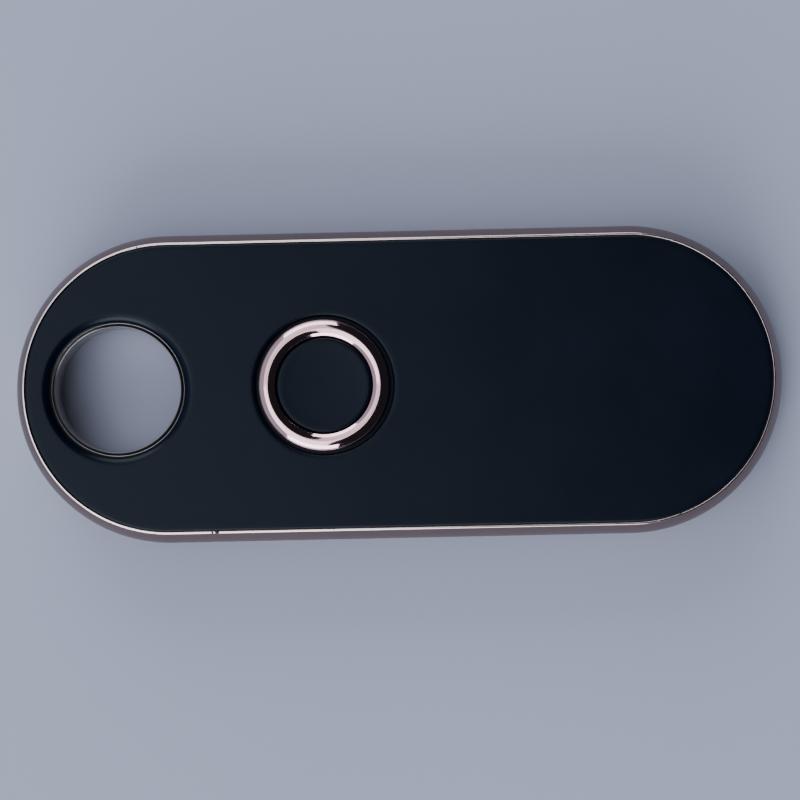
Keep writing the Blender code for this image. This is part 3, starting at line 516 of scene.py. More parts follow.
def makeRim():
    form = {"lip": 0.17 * mm, "lipRound": 0.055 * mm, "drop": 0.05 * mm, "outerDrop": 0.03 * mm,
            "lipMargin": 0.02 * mm, "bandEnd": 0.8, "bandSteps": 18}
    outer, inner = rimHigh.y, coverRadius + shell["seam"]
    middleZ = (rimHigh.z + rimLow.z) / 2
    half = (rimHigh.z - rimLow.z) / 2 - form["drop"]
    bulge = outer - inner - form["lip"]
    radius = (half**2 + bulge**2) / (2 * bulge)
    spread = math.degrees(math.asin(half / radius)) - form["bandEnd"]
    corner = form["lipRound"]
    lipZ = rimHigh.z - corner
    top = arcPoints(inner + corner, lipZ, corner, 180.0, 95.0, 5)
    top += arcPoints(inner + form["lip"] - corner, lipZ - form["outerDrop"], corner, 80.0, 32.0, 4)
    band = arcPoints(outer - radius, middleZ, radius, spread, -spread, form["bandSteps"])
    bottom = [(r, 2 * middleZ - z) for r, z in reversed(top)]
    flangeBase = flangeTop - shell["flange"]
    inside = [(inner, flangeBase), (trayInner, flangeBase), (trayInner, flangeTop), (inner, flangeTop)]
    bm = bmesh.new()
    sweepStadium(bm, top + band + bottom + inside, reach, closed=True)

    def onLip(face):
        centre = face.calc_center_median()
        away = math.hypot(max(abs(centre.x) - reach, 0.0), centre.y)
        return abs(centre.z - middleZ) > half - form["lipMargin"] and away < inner + form["lip"] + 5 * slack

    finishPiece("rimBand", bm, "roseSatin", "housing", "rose_metal", "rim_frame", sharp=40.0,
                second="lipPolish", secondTest=onLip)


def makeFrontShell():
    form = {
        "sealInset": 0.2 * mm, "sealDepth": 0.2 * mm, "recessGap": 0.27 * mm, "recessRound": 0.25 * mm,
        "moat": 0.35 * mm, "moatInset": 0.1 * mm, "groove": 0.3 * mm, "ledge": 0.5 * mm,
        "bossWall": 0.58 * mm, "rib": (4.0 * mm, 0.5 * mm, 0.7 * mm), "ribPitch": 13.0 * mm,
    }
    fit, seam, shoulder, edge = shell["fit"], shell["seam"], shell["shoulder"], shell["edgeRound"]
    sealOuter = coverRadius - form["sealInset"]
    sealInner = sealOuter - shell["sealWidth"] - 2 * fit
    sealTop = coverBase + form["sealDepth"]
    side = [(coverRadius - edge - shoulder, faceZ)]
    side += arcPoints(coverRadius - edge, faceZ - edge, edge, 90.0, 0.0, 6)
    side += [(coverRadius, coverBase), (sealOuter, coverBase), (sealOuter, sealTop), (sealInner, sealTop),
             (sealInner, coverBase)]
    bm = bmesh.new()
    sweepStadium(bm, side, reach)

    roll = shell["holeRound"]
    hole = [(holeRadius + roll + shoulder, faceZ)]
    hole += arcPoints(holeRadius + roll, faceZ - roll, roll, 90.0, 180.0, 16)
    hole += [(holeRadius, coverBase)]
    revolve(bm, (holeX, 0.0), hole, steps=bore["steps"])

    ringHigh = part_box("button_ring")[1]
    ringOuter = ringHigh.y
    recess = ringOuter + form["recessGap"]
    seat = ringHigh.z - ringForm["width"] - fit
    middleR = ringOuter - ringForm["width"] / 2
    grooveOut, grooveIn = middleR + ringForm["stem"] / 2 + seam, middleR - ringForm["stem"] / 2 - seam
    grooveTop = seat - form["groove"]
    shaft = ringOuter - ringForm["width"]
    flangeR = shaft + shell["capFlange"]
    moatIn, moatFloor = ringOuter - form["moatInset"], seat - form["moat"]  # the shadow line round the ring
    small = form["recessRound"]
    opening = [(recess + small + shoulder, faceZ)]
    opening += arcPoints(recess + small, faceZ - small, small, 90.0, 180.0, 8)
    opening += [(recess, moatFloor), (moatIn, moatFloor), (moatIn, seat),
                (grooveOut, seat), (grooveOut, grooveTop), (grooveIn, grooveTop), (grooveIn, seat),
                (shaft, seat), (shaft, seat - form["ledge"]), (flangeR, seat - form["ledge"]),
                (flangeR, coverLow.z), (recess + form["bossWall"], coverLow.z),
                (recess + form["bossWall"], coverBase)]
    revolve(bm, (ringX, 0.0), opening, steps=bore["steps"])

    length, thick, drop = form["rib"]
    for sideY in (-1.0, 1.0):
        for sideX in (-0.5, 0.5):
            x = ringX + sideX * form["ribPitch"]
            y = sideY * (trayInner - seam - thick / 2)
            corners = ((-1, -1), (1, -1), (1, 1), (-1, 1))
            foot = [(x + a * length / 2, y + b * thick / 2) for a, b in corners]
            pushDown(bm, drawLoop(bm, foot, coverBase), drop)
    fillLevel(bm, faceZ)
    fillLevel(bm, coverBase)
    finishPiece("frontShell", bm, "blackShell", "cover", "black_shell", "front_cover")


def makeBackShell():
    form = {
        "bossWall": 0.92 * mm, "fillet": 0.3 * mm, "stake": 0.55 * mm, "stakeHead": 0.35 * mm,
        "headHeight": 0.35 * mm, "inset": 1.2 * mm, "sideGap": 0.15 * mm, "switchGap": 0.25 * mm,
    }
    edge, shoulder, fit, roll = shell["edgeRound"], shell["shoulder"], shell["fit"], shell["holeRound"]
    floor, fillet, inset = shell["trayFloor"], form["fillet"], form["inset"]
    trayTop = flangeTop - shell["flange"] - fit
    side = [(coverRadius - edge - shoulder, 0.0)]
    side += arcPoints(coverRadius - edge, edge, edge, -90.0, 0.0, 6)
    side += [(coverRadius, trayTop), (trayInner, trayTop)]
    side += arcPoints(trayInner - fillet, floor + fillet, fillet, 0.0, -90.0, 5)[:-1]
    side += [(trayInner - fillet, floor)]
    bm = bmesh.new()
    sweepStadium(bm, side, reach)
    bossRadius = holeRadius + form["bossWall"]
    hole = [(holeRadius + roll + shoulder, 0.0)]
    hole += arcPoints(holeRadius + roll, roll, roll, -90.0, -180.0, 16)
    hole += [(holeRadius, backHigh.z), (bossRadius, backHigh.z), (bossRadius, floor)]
    revolve(bm, (holeX, 0.0), hole, steps=bore["steps"])

    neck, tall = form["stake"], form["headHeight"]  # four stakes with heads hold the board
    head = neck + form["stakeHead"]
    neckBase, headBase = boardBase - fit, boardTop + fit
    stakeY = trayInner - form["sideGap"] - inset
    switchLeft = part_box("switch_base")[0].x
    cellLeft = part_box("cell_can")[0].x
    xs = (holeX + bossRadius + inset, switchLeft - form["switchGap"] + inset, cellLeft - inset,
          cellLeft - inset)
    for x, y in zip(xs, (stakeY, -stakeY, stakeY, -stakeY)):
        post = [(head, floor), (head, neckBase), (neck, neckBase), (neck, headBase), (head, headBase)]
        post += arcPoints(head - tall, headBase, tall, 20.0, 90.0, 5)
        post += [(0.0, headBase + tall)]
        revolve(bm, (x, y), post, steps=32)
    fillLevel(bm, 0.0)
    fillLevel(bm, floor)
    finishPiece("backShell", bm, "blackShell", "housing", "black_shell", "back_cover")


def makeSleeve():
    form = {"lipRound": 0.03 * mm, "lipTilt": 30.0, "outerRound": 0.015 * mm, "collarHeight": 0.4 * mm}
    r, c = form["lipRound"], form["outerRound"]
    inner, outer, collar = bore["radius"], sleeveRadius, sleeveHigh.y
    collarBase = flangeTop - form["collarHeight"]
    lean = 90.0 - form["lipTilt"]  # the lip leans outwards, so only its inner edge stands proud
    fall = (outer - inner - r - c) * math.tan(math.radians(form["lipTilt"]))
    top = arcPoints(inner + r, sleeveHigh.z - r, r, 180.0, lean, 6)
    top += arcPoints(outer - c, sleeveHigh.z - r - fall, c, lean, 0.0, 4)
    low = arcPoints(outer - r, sleeveLow.z + r, r, 0.0, -90.0, 5)
    low += arcPoints(inner + r, sleeveLow.z + r, r, -90.0, -180.0, 5)
    waist = [(outer, flangeTop), (collar, flangeTop), (collar, collarBase), (outer, collarBase)]
    bm = bmesh.new()
    revolve(bm, (holeX, 0.0), top + waist + low, closed=True, steps=bore["steps"])
    finishPiece("holeSleeve", bm, "darkNickel", "housing", "dark_nickel", "keyring_sleeve", sharp=50.0)


def makeSeal():
    low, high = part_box("cover_gasket")
    r = shell["sealWidth"] / 2
    centreR = high.y - r
    profile = arcPoints(centreR, high.z - r, r, 0.0, 180.0, 8)
    profile += arcPoints(centreR, low.z + r * 0.5, r, 180.0, 360.0, 8)
    profile = [(away, max(z, low.z)) for away, z in profile]  # squeezed flat below
    bm = bmesh.new()
    sweepStadium(bm, profile, reach, closed=True, steps=48)
    finishPiece("coverSeal", bm, "silicone", "cover", "silicone", "cover_gasket", sharp=60.0)


def makeRing():
    form = {"crown": 0.82 * mm, "lean": 0.07 * mm, "round": 0.1 * mm, "steps": 28,
            "taper": 0.2 * mm, "taperDrop": 0.35 * mm, "baseDrop": 0.52 * mm}
    low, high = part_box("button_ring")
    outer, inner = high.y, high.y - ringForm["width"]
    middleR, half = high.y - ringForm["width"] / 2, ringForm["stem"] / 2
    crestR = middleR - form["lean"]  # the crown peaks a little inside the middle
    centreZ = high.z - form["crown"]
    r, taper = form["round"], form["taper"]
    bend = form["crown"] - r
    outTilt = math.asin((outer - crestR - r) / bend)
    inTilt = math.asin((crestR - inner - r) / bend)
    outZ, inZ = centreZ + bend * math.cos(outTilt), centreZ + bend * math.cos(inTilt)
    outStart, inStart = 90.0 - math.degrees(outTilt), 90.0 + math.degrees(inTilt)
    crown = arcPoints(crestR, centreZ, form["crown"], inStart, outStart, form["steps"])
    outEdge = arcPoints(outer - r, outZ, r, outStart, 0.0, 5)[1:]
    inEdge = arcPoints(inner + r, inZ, r, 180.0, inStart, 5)[:-1]
    belly = high.z - ringForm["width"] / 2
    taperZ, baseZ = belly - form["taperDrop"], belly - form["baseDrop"]
    rest = [(outer, belly), (outer - taper, taperZ), (middleR + half, baseZ), (middleR + half, low.z),
            (middleR - half, low.z), (middleR - half, baseZ), (inner + taper, taperZ), (inner, belly)]
    bm = bmesh.new()
    revolve(bm, (ringX, 0.0), inEdge + crown + outEdge + rest, closed=True, steps=160)
    finishPiece("ringBead", bm, "rosePolish", "cover", "rose_polish", "button_ring", sharp=50.0)


def makeButton():
    form = {"round": 0.25 * mm, "flangeHeight": 0.3 * mm, "stem": 1.8 * mm, "stemReach": 0.5 * mm,
            "dish": 0.06 * mm, "corner": 0.05 * mm}
    low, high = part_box("button_cap")
    radius = high.y - shell["capFlange"]
    discBase = low.z + form["stemReach"]
    discTop = discBase + form["flangeHeight"]
    r, c, stem = form["round"], form["corner"], form["stem"]
    shares = (0.0, 0.25, 0.5, 0.7, 0.85)
    face = [(radius * share, high.z - form["dish"] * (1.0 - share**2)) for share in shares]
    face += [(radius - r, high.z)] + arcPoints(radius - r, high.z - r, r, 80.0, 0.0, 7)
    rest = [(radius, discTop), (high.y - c, discTop), (high.y, discTop - c), (high.y, discBase),
            (stem, discBase), (stem, low.z + c), (stem - c, low.z), (0.0, low.z)]
    bm = bmesh.new()
    revolve(bm, (ringX, 0.0), face + rest)
    finishPiece("buttonDisc", bm, "blackShell", "button", "black_shell", "button_cap")


def makeButtonPad():
    form = {"chamfer": 0.08 * mm, "footTop": 0.6, "foot": 0.5}  # the foot in shares of the pad's radius
    low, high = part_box("button_pad")
    radius, c = high.y, form["chamfer"]
    profile = [(0.0, high.z), (radius - c, high.z), (radius, high.z - c), (radius, low.z + 2 * c),
               (radius - c, low.z + c), (radius * form["footTop"], low.z + c),
               (radius * form["foot"], low.z), (0.0, low.z)]
    bm = bmesh.new()
    revolve(bm, (ringX, 0.0), profile, steps=48)
    finishPiece("buttonPad", bm, "silicone", "button", "silicone", "button_pad")


def makeRetainer():
    form = {"inner": 2.1 * mm, "chamfer": 0.06 * mm}
    low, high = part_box("button_retainer")
    inner, outer, c = form["inner"], high.y, form["chamfer"]
    profile = [(inner + c, high.z), (outer - c, high.z), (outer, high.z - c), (outer, low.z + c),
               (outer - c, low.z), (inner + c, low.z), (inner, low.z + c), (inner, high.z - c)]
    bm = bmesh.new()
    revolve(bm, (ringX, 0.0), profile, closed=True)
    finishPiece("buttonRetainer", bm, "blackPlastic", "cover", "black_plastic", "button_retainer")


makeRim()
makeFrontShell()
makeBackShell()
makeSleeve()
makeSeal()
makeRing()
makeButton()
makeButtonPad()
makeRetainer()
print("casing and button made")

lands = []  # (centre, size) of every solder land, gathered as the parts are made


def addLands(centre, offset, size):  # one at each end of a part
    for side in (-1.0, 1.0):
        lands.append((centre + offset * side, size))


def makeTinned(name, node, finish, slot, share=0.24):  # a small part with tinned ends
    form = {"edge": 0.05 * mm, "inset": 0.015 * mm, "sink": 0.018 * mm, "landInset": 0.02 * mm,
            "landAlong": 0.55, "landAcross": 1.15}
    low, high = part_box(node)
    centre, size = (low + high) / 2, high - low
    axis = 0 if size.x > size.y else 1
    normal = Vector((1.0 - axis, axis, 0.0))
    reachIn = size[axis] * (0.5 - share)
    bm = bmesh.new()
    block(bm, centre, size, edge=form["edge"])
    scoreEnds(bm, centre, normal, reachIn)
    inner = [f for f in bm.faces if abs(f.calc_center_median()[axis] - centre[axis]) < reachIn]
    bmesh.ops.inset_region(
        bm, faces=inner, thickness=form["inset"], depth=-form["sink"], use_even_offset=True)

    def onEnd(face):
        return abs(face.calc_center_median()[axis] - centre[axis]) > reachIn - slack

    finishPiece(name, bm, finish, "housing", slot, node, second="tin", secondTest=onEnd)
    landSize = [size[index] * form["landAlong" if index == axis else "landAcross"] for index in (0, 1)]
    addLands(centre, normal * (size[axis] / 2 - form["landInset"]), landSize)


def makeChip():
    form = {"corner": 0.12 * mm, "chamfer": 0.07 * mm, "dot": 0.28 * mm, "dotInset": 0.75 * mm,
            "dotDepth": 0.04 * mm, "pins": 12, "pin": 0.2 * mm, "pinLength": 0.5 * mm,
            "pinPitch": 0.36 * mm}
    low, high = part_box("bluetooth_chip")
    centre, size = (low + high) / 2, high - low
    c = form["chamfer"]
    dot = (low.x + form["dotInset"], high.y - form["dotInset"])
    bm = bmesh.new()
    slab(bm, centre, size, form["corner"], ((0.0, low.z), (0.0, high.z - c), (c, high.z)), openTop=True)
    pushDown(bm, circle(bm, dot, form["dot"], high.z), form["dotDepth"])
    fillLevel(bm, high.z)
    finishPiece("radioChip", bm, "chipBlack", "housing", "chip_black", "bluetooth_chip")
    pin, length = form["pin"], form["pinLength"]
    for index in range(form["pins"]):
        along = (index - (form["pins"] - 1) / 2) * form["pinPitch"]
        addLands(centre + Vector((along, 0.0, 0.0)), Vector((0.0, size.y / 2, 0.0)), (pin, length))
        addLands(centre + Vector((0.0, along, 0.0)), Vector((size.x / 2, 0.0, 0.0)), (length, pin))


def makeCrystal(name, node):
    form = {"corner": 0.2 * mm, "ceramic": 0.16 * mm, "lidInset": 0.11 * mm, "chamfer": 0.05 * mm,
            "landPlace": 0.42, "landSize": (0.34, 1.12)}
    low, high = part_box(node)
    centre, size = (low + high) / 2, high - low
    step = low.z + form["ceramic"]
    inset, c = form["lidInset"], form["chamfer"]
    levels = ((0.0, low.z), (0.0, step), (inset, step), (inset, high.z - c), (inset + c, high.z))
    bm = bmesh.new()
    slab(bm, centre, size, form["corner"], levels)
    finishPiece(name, bm, "crystalLid", "housing", "crystal_can", node, second="antennaCeramic",
                secondTest=lambda face: face.calc_center_median().z < step - slack)
    landSize = (size.x * form["landSize"][0], size.y * form["landSize"][1])
    addLands(centre, Vector((size.x * form["landPlace"], 0.0, 0.0)), landSize)


def makeAntenna():
    form = {"corner": 0.1 * mm, "chamfer": 0.05 * mm, "end": 0.5 * mm, "margin": 0.3 * mm, "turns": 7,
            "line": 0.16 * mm, "proud": 0.02 * mm, "sink": 0.01 * mm, "linkGap": 0.002 * mm,
            "landPlace": 0.47, "landLength": 0.9 * mm, "landShare": 1.1}
    low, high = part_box("chip_antenna")
    centre, size = (low + high) / 2, high - low
    c, line, proud = form["chamfer"], form["line"], form["proud"]
    top = high.z - proud
    inner = size.x / 2 - form["end"]
    bm = bmesh.new()
    slab(bm, centre, size, form["corner"], ((0.0, low.z), (0.0, top - c), (c, top)))
    scoreEnds(bm, centre, Vector((1.0, 0.0, 0.0)), inner)
    pitch = 2 * (inner - form["margin"]) / form["turns"]
    lineY = size.y / 2 - form["margin"]
    lineZ, tall = top + (proud - form["sink"]) / 2, proud + form["sink"]
    for index in range(form["turns"] + 1):  # the meander's long runs, and the links between them
        x = centre.x - inner + form["margin"] + index * pitch
        block(bm, (x, centre.y, lineZ), (line, 2 * lineY, tall))
        if index < form["turns"]:
            y = centre.y + (lineY - line / 2) * (1.0 if index % 2 else -1.0)
            block(bm, (x + pitch / 2, y, lineZ), (pitch - line - form["linkGap"], line, tall))

    def isTin(face):
        middlePoint = face.calc_center_median()
        return abs(middlePoint.x - centre.x) > inner or middlePoint.z > top + slack / 2

    finishPiece("antennaBlock", bm, "antennaCeramic", "housing", "antenna_ceramic", "chip_antenna",
                second="tin", secondTest=isTin)
    landSize = (form["landLength"], size.y * form["landShare"])
    addLands(centre, Vector((size.x * form["landPlace"], 0.0, 0.0)), landSize)


def makeSounder():
    form = {"corner": 0.7 * mm, "chamfer": 0.12 * mm, "wall": 0.3 * mm, "mouth": 0.9 * mm, "lip": 0.35 * mm,
            "lipHeight": 0.12 * mm, "skirt": (0.1 * mm, 0.03 * mm), "edge": 0.05 * mm}
    low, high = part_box("sounder_case")
    centre, size = (low + high) / 2, high - low
    c, e, mouth = form["chamfer"], form["edge"], form["mouth"]
    top, roof = high.z - form["lipHeight"], high.z - form["wall"]
    inside, lipR = size.x / 2 - form["wall"], mouth + form["lip"]
    skirtOut, skirtUp = form["skirt"]
    bm = bmesh.new()
    slab(bm, centre, size, form["corner"], ((0.0, low.z), (0.0, top - c), (c, top)), openTop=True,
         openBase=True)
    profile = [(lipR + skirtOut, top), (lipR, top + skirtUp), (lipR - e, high.z), (mouth + e, high.z),
               (mouth, high.z - e), (mouth, roof), (inside, roof), (inside, low.z)]
    revolve(bm, centre, profile, steps=64)
    fillLevel(bm, top)
    fillLevel(bm, low.z)
    finishPiece("sounderBox", bm, "blackPlastic", "housing", "black_plastic", "sounder_case")


switchForm = {"corner": 0.25 * mm, "flange": 0.4 * mm, "edge": 0.04 * mm}  # the switch's shared sizes


def makeSwitchBase():
    form = {"chamfer": 0.06 * mm, "pocket": 1.5 * mm, "floor": 0.15 * mm}
    low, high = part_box("switch_base")
    centre, size = (low + high) / 2, high - low
    c = form["chamfer"]
    levels = ((0.0, low.z), (0.0, high.z - c), (c, high.z))
    bm = bmesh.new()
    slab(bm, centre, size, switchForm["corner"], levels, openTop=True)
    pushDown(bm, circle(bm, centre, form["pocket"], high.z, 48), size.z - form["floor"])
    fillLevel(bm, high.z)
    finishPiece("switchBase", bm, "blackPlastic", "housing", "black_plastic", "switch_base")


def makeSnapDome():  # the switch's snap dome, given a mesh of its own
    form = {"sheet": 0.08 * mm, "steps": 10, "fullness": 1.3}
    low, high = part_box("switch_dome")
    centre = middle("switch_base")
    radius, tall, sheet = (high.x - low.x) / 2, high.z - low.z, form["sheet"]
    shares = [step / form["steps"] for step in range(form["steps"] + 1)]
    below = [(radius * t, low.z + (tall - sheet) * (1.0 - t**2) ** form["fullness"]) for t in shares]
    above = [(r, z + sheet) for r, z in below]
    bm = bmesh.new()
    revolve(bm, centre, above + below[::-1], steps=48)
    dome = finishPiece("snapDome", bm, "steel", "housing", "steel", "switch_dome")
    travel = next(joint["range_m"][1] for joint in frame["joints"] if joint["name"] == "plunger_press")
    1.0 - travel / tall
    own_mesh(dome)


def makeSwitchFrame():
    form = {"leg": (0.1 * mm, 1.1 * mm), "legPlace": 0.27, "legEdge": 0.03 * mm, "legFoot": 0.03 * mm,
            "legDrop": 0.02 * mm, "legGap": 0.002 * mm, "land": 0.4 * mm, "landShare": 1.1}
    low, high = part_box("switch_frame")
    centre, size = (low + high) / 2, high - low
    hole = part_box("switch_plunger")
    window = (hole[1].x - hole[0].x) / 2 - switchForm["flange"] + shell["seam"]
    e = switchForm["edge"]
    bm = bmesh.new()
    levels = ((0.0, low.z), (0.0, high.z - e), (e, high.z))
    slab(bm, centre, size, switchForm["corner"], levels, openTop=True, openBase=True)
    revolve(bm, centre, [(window + e, high.z), (window, high.z - e), (window, low.z)], steps=48)
    fillLevel(bm, high.z)
    fillLevel(bm, low.z)
    sheet, width = form["leg"]
    legTop, legFoot = high.z - form["legDrop"], boardTop + form["legFoot"]
    for sideX in (-1.0, 1.0):  # legs folded down to the board
        for sideY in (-1.0, 1.0):
            x = centre.x + sideX * (size.x / 2 + sheet / 2 + form["legGap"])
            spot = (x, centre.y + sideY * size.y * form["legPlace"], (legFoot + legTop) / 2)
            block(bm, spot, (sheet, width, legTop - legFoot), edge=form["legEdge"])
            lands.append((Vector(spot), (form["land"], width * form["landShare"])))
    finishPiece("switchFrame", bm, "steel", "housing", "steel", "switch_frame")


def makeSwitchPlunger():
    form = {"foot": 0.15 * mm, "round": 0.15 * mm, "edge": 0.03 * mm}
    low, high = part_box("switch_plunger")
    outer, footTop = (high.x - low.x) / 2, low.z + form["foot"]
    shaft, r, e = outer - switchForm["flange"], form["round"], form["edge"]
    profile = [(0.0, high.z), (shaft - r, high.z)] + arcPoints(shaft - r, high.z - r, r, 80.0, 0.0, 5)
    profile += [(shaft, footTop), (outer - e, footTop), (outer, footTop - e), (outer, low.z), (0.0, low.z)]
    bm = bmesh.new()
    revolve(bm, middle("switch_frame"), profile, steps=48)
    finishPiece("switchPlunger", bm, "blackPlastic", "plunger", "black_plastic", "switch_plunger")


def makeCell():
    form = {
        "round": 0.3 * mm, "sheet": 0.25 * mm, "capInset": 1.3 * mm, "crimp": 0.21 * mm,
        "crimpReach": 0.6 * mm, "crimpEdge": 0.18 * mm, "crimpRise": 0.28 * mm, "beadRadius": 8.55 * mm,
        "beadDepth": 0.035 * mm, "beadHalf": 0.28 * mm, "shoulder": 0.12 * mm,
        "plus": (3.0 * mm, 0.62 * mm), "plusDepth": 0.07 * mm, "plusOffset": 4.9 * mm,
    }
    low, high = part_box("cell_can")
    radius, r, crimp = high.x - cellX, form["round"], form["crimp"]
    inner, roof = radius - form["sheet"], high.z - form["sheet"]
    crimpEnd = radius - form["capInset"] + form["crimpReach"]
    bead, half, shoulder = form["beadRadius"], form["beadHalf"], form["shoulder"]
    profile = [(bead + half + shoulder, high.z), (radius - r - shoulder, high.z)]
    profile += arcPoints(radius - r, high.z - r, r, 90.0, 0.0, 8) + [(radius, low.z + crimp)]
    profile += arcPoints(radius - crimp, low.z + crimp, crimp, -20.0, -90.0, 5)
    profile += [(crimpEnd, low.z), (crimpEnd, low.z + form["crimpEdge"]),
                (inner, low.z + form["crimpRise"]), (inner, roof), (0.0, roof)]
    bm = bmesh.new()
    revolve(bm, (cellX, 0.0), profile, steps=128)

    shares = [1.0 - step / 3 for step in range(7)]  # a pressed line round the top, with level shoulders
    groove = [(bead + half * share, high.z - form["beadDepth"] * (1.0 - share**2)) for share in shares]
    outside, inside = [(bead + (half + shoulder) * side, high.z) for side in (1.0, -1.0)]
    revolve(bm, (cellX, 0.0), [outside] + groove + [inside], steps=128)

    arm, half = form["plus"][0] / 2, form["plus"][1] / 2
    quarter = [(arm, -half), (arm, half), (half, half)]
    cross = []
    for _ in range(4):
        cross += [(cellX - form["plusOffset"] + x, y) for x, y in quarter]
        quarter = [(-y, x) for x, y in quarter]
    pushDown(bm, drawLoop(bm, cross, high.z), form["plusDepth"])
    fillLevel(bm, high.z)
    markZ = high.z - form["plusDepth"]

    def inMark(face):
        return abs(face.calc_center_median().z - markZ) < slack and face.normal.z > 0.9

    finishPiece("cellCan", bm, "cellSteel", "housing", "cell_steel", "cell_can", second="etchedSteel",
                secondTest=inMark)


springForm = {"sheet": 0.12 * mm, "slit": 0.45 * mm, "bend": 0.35 * mm, "tip": 0.02 * mm}  # both contacts


def makeContact(name, node, points, slitFrom):  # a sheet-metal spring, in two fingers beyond slitFrom
    low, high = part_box(node)
    path = softBends(points, springForm["bend"])
    bm = bmesh.new()
    row = joinUp(bm, [bm.verts.new((p.x, low.y, p.y)) for p in path], False)
    finger = (high.y - low.y - springForm["slit"]) / 2
    for width in (finger, springForm["slit"], finger):
        row = extend(bm, row, (0.0, width, 0.0))
    middleY = (low.y + high.y) / 2
    centres = [(f, f.calc_center_median()) for f in bm.faces]
    slit = [f for f, at in centres if abs(at.y - middleY) < springForm["slit"] / 4 and at.x > slitFrom]
    bmesh.ops.delete(bm, geom=slit, context="FACES")
    bmesh.ops.recalc_face_normals(bm, faces=bm.faces[:])
    bmesh.ops.solidify(bm, geom=bm.faces[:], thickness=springForm["sheet"])
    finishPiece(name, bm, "springMetal", "housing", "spring_metal", node)


def makePlusContact():  # stands on the board and presses on the can's wall
    form = {  # distances back from the can's wall, and heights from the foot or down from the top
        "back": 1.66 * mm, "heel": 0.41 * mm, "heelEnd": (0.26 * mm, 0.15 * mm), "waist": 0.51 * mm,
        "touch": (0.06 * mm, 0.5 * mm), "end": 0.36 * mm, "slitFrom": 0.9 * mm,
        "landPlace": 1.1 * mm, "land": (1.5 * mm, 3.4 * mm),
    }
    low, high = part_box("positive_contact")
    foot, touchZ = low.z + springForm["sheet"], high.z - form["touch"][1]
    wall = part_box("cell_can")[0].x - shell["fit"]
    blade = [(wall - form["back"], foot), (wall - form["heel"], foot),
             (wall - form["heelEnd"][0], foot + form["heelEnd"][1]),
             (wall - form["waist"], (foot + touchZ) / 2), (wall - form["touch"][0], touchZ),
             (wall - form["end"], high.z - springForm["tip"])]
    makeContact("plusContact", "positive_contact", blade, wall - form["slitFrom"])
    lands.append((Vector((wall - form["landPlace"], 0.0, 0.0)), form["land"]))


def makeMinusContact():  # lies under the cell and presses up on its cap
    form = {"flat": 3.0 * mm, "crest": 6.0 * mm, "end": 0.04 * mm, "slitFrom": 2.4 * mm}
    low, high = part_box("negative_contact")
    foot = low.z + springForm["sheet"]
    leaf = [(low.x, foot), (low.x + form["flat"], foot),
            (low.x + form["crest"], high.z - springForm["tip"]), (high.x - form["end"], (foot + high.z) / 2)]
    makeContact("minusContact", "negative_contact", leaf, low.x + form["slitFrom"])


def makeBoardLands():  # the gilded lands under every part, and a few test points
    form = {
        "proud": 0.035 * mm, "sink": 0.01 * mm, "corner": 0.08 * mm, "edge": 0.01 * mm,
        "testRadius": 0.42 * mm,
        "testPoints": ((-3.4, -6.6), (-1.9, -6.6), (-0.4, -6.6), (1.1, -6.6),
                       (-13.6, 6.3), (-14.9, 6.9), (4.4, 7.2), (4.4, 5.9)),  # in mm
    }
    base, top = boardTop - form["sink"], boardTop + form["proud"]
    e, radius = form["edge"], form["testRadius"]
    bm = bmesh.new()
    for centre, size in lands:
        slab(bm, centre, size, form["corner"], ((0.0, base), (0.0, top - e), (e, top)))
    dot = [(0.0, top), (radius - e, top), (radius, top - e), (radius, base), (0.0, base)]
    for x, y in form["testPoints"]:
        revolve(bm, (x * mm, y * mm), dot, steps=24)
    finishPiece("boardLands", bm, "padGold", "housing", "brass")


for index in range(1, 9):
    makeTinned(f"capacitor{index}", f"capacitor_{index}", "capacitorTan", "capacitor_tan")
for index in range(1, 3):
    makeTinned(f"inductor{index}", f"inductor_{index}", "inductorGrey", "inductor_grey", 0.2)
    makeTinned(f"resistor{index}", f"resistor_{index}", "resistorBlack", "resistor_black", 0.2)
makeChip()
makeCrystal("mainCrystal", "crystal_main")
makeCrystal("clockCrystal", "crystal_clock")
makeAntenna()
makeSounder()
makeSwitchBase()
makeSnapDome()
makeSwitchFrame()
makeSwitchPlunger()
makeCell()
makePlusContact()
makeMinusContact()
makeBoardLands()
print("board, switch, sounder and cell made")


def dressRest():  # the nodes that keep their own shape get their finishes here
    looks = {
        "circuit_board": "solderMask", "sounder_plate": "brass", "sounder_disc": "whiteCeramic",
        "cell_cap": "steel", "cell_gasket": "cellSeal", "cell_anode": "lithium",
        "cell_cathode": "cathodeBlack",
    }
    for name, look in looks.items():
        node = frame["nodes"][name]
        node.data.materials.clear()
        node.data.materials.append(finishes[look])


dressRest()
print("carried-over nodes dressed")


def makeStage():
    look = {"size": 3.0, "gap": 0.02 * mm, "deep": rgb(0.38, 0.416, 0.565), "pale": rgb(0.405, 0.442, 0.59),
            "rough": 0.85, "cloud": 0.02}
    bm = bmesh.new()
    bmesh.ops.create_grid(bm, x_segments=1, y_segments=1, size=look["size"])
    bmesh.ops.translate(bm, verts=bm.verts[:], vec=(0.0, 0.0, -look["gap"]))
    mesh = bpy.data.meshes.new("studioFloor")
    bm.to_mesh(mesh)
    bm.free()
    floor = bpy.data.objects.new("studioFloor", mesh)
    bpy.context.scene.collection.objects.link(floor)
    finish = Finish("floorPaper", Roughness=look["rough"])
    cloud = finish.noise(finish.place((look["cloud"],) * 3), 1.0, 2.0)
    finish.feed("Base Color", finish.mix(cloud, look["deep"], look["pale"]))
    mesh.materials.append(finish.material)


def makeLight(name, place, aim, size, power, colour):
    data = bpy.data.lights.new(name, "AREA")
    data.shape = "RECTANGLE"
    data.size, data.size_y = size
    data.energy = power
    data.color = colour
    light = bpy.data.objects.new(name, data)
    light.location = place
    light.rotation_euler = (Vector(aim) - Vector(place)).to_track_quat("-Z", "Y").to_euler()
    bpy.context.scene.collection.objects.link(light)


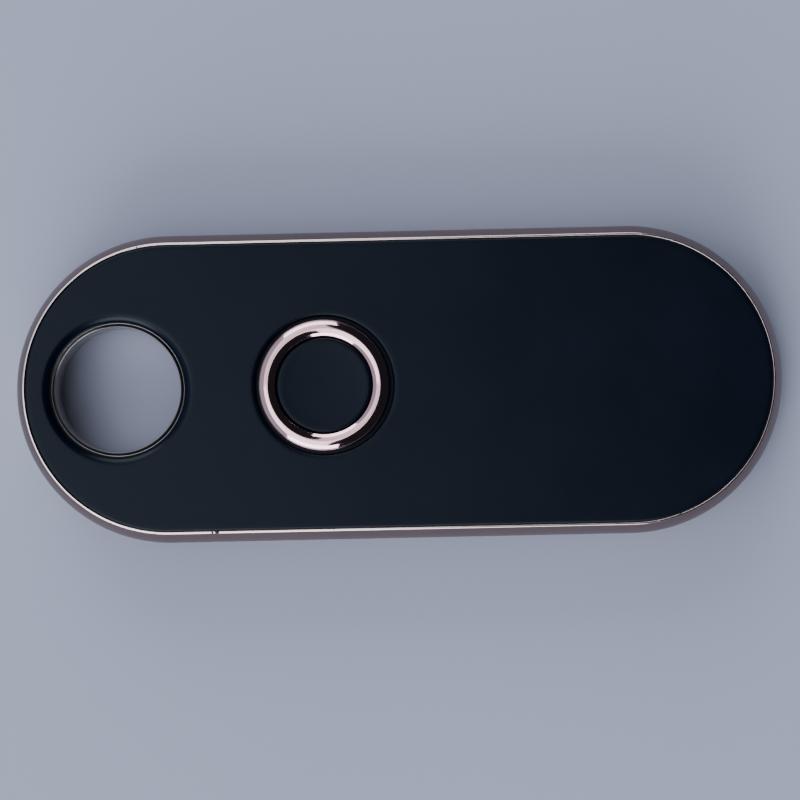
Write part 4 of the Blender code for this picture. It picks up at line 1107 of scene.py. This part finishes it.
def makeLights():  # two softboxes overhead, and a tall panel before and behind the tag
    look = {
        "softbox": {"x": -0.32, "z": 0.80, "size": (0.63, 0.95), "colour": (1.0, 0.985, 0.99)},
        "panel": {"x": -0.35, "z": 0.55, "aimZ": 0.45, "size": (1.1, 0.9), "colour": (0.93, 0.96, 1.0)},
    }
    box, panel = look["softbox"], look["panel"]
    for name, y, power in (("softboxFront", -0.455, 4.2), ("softboxBack", 0.495, 1.8)):
        place, aim = (box["x"], y, box["z"]), (box["x"], y, 0.0)
        makeLight(name, place, aim, box["size"], power, box["colour"])
    for name, y, power in (("panelFront", -1.1, 16.0), ("panelBack", 1.1, 10.0)):
        place, aim = (panel["x"], y, panel["z"]), (panel["x"], 0.0, panel["aimZ"])
        makeLight(name, place, aim, panel["size"], power, panel["colour"])


def makeSky():  # bright on the left, dim on the right
    look = {"colour": rgb(0.82, 0.89, 1.0), "From Min": 0.1, "From Max": -0.4, "To Min": 0.015,
            "To Max": 0.50}
    world = bpy.data.worlds.new("studioWorld")
    bpy.context.scene.world = world
    world.use_nodes = True
    tree = world.node_tree
    spot = tree.nodes.new("ShaderNodeTexCoord")
    parts = tree.nodes.new("ShaderNodeSeparateXYZ")
    ramp = tree.nodes.new("ShaderNodeMapRange")
    ramp.interpolation_type = "SMOOTHSTEP"
    for socket in ("From Min", "From Max", "To Min", "To Max"):
        ramp.inputs[socket].default_value = look[socket]
    back = tree.nodes["Background"]
    back.inputs["Color"].default_value = look["colour"]
    tree.links.new(spot.outputs["Generated"], parts.inputs[0])
    tree.links.new(parts.outputs["X"], ramp.inputs["Value"])
    tree.links.new(ramp.outputs["Result"], back.inputs["Strength"])


def makeCamera():
    view = {"centre": (0.054 * mm, -1.18 * mm), "foot": (3.50 * mm, -7.03 * mm), "height": 258.0 * mm,
            "width": 60.73 * mm, "turn": math.radians(1.246), "sensor": 36.0, "clip": (0.01, 20.0)}
    aimZ = faceZ / 2
    aim = Vector((*view["centre"], aimZ))
    place = Vector((*view["foot"], aimZ + view["height"]))
    back = (place - aim).normalized()
    right = Vector((math.cos(view["turn"]), -math.sin(view["turn"]), 0.0))
    right = (right - right.dot(back) * back).normalized()
    up = back.cross(right)
    data = bpy.data.cameras.new("studioCamera")
    data.sensor_width = view["sensor"]
    data.lens = view["sensor"] * (place - aim).length / view["width"]
    data.clip_start, data.clip_end = view["clip"]
    camera = bpy.data.objects.new("studioCamera", data)
    camera.matrix_world = Matrix.Translation(place) @ Matrix((right, up, back)).transposed().to_4x4()
    bpy.context.scene.collection.objects.link(camera)
    bpy.context.scene.camera = camera


makeStage()
makeLights()
makeSky()
makeCamera()
print("stage, light and camera made")
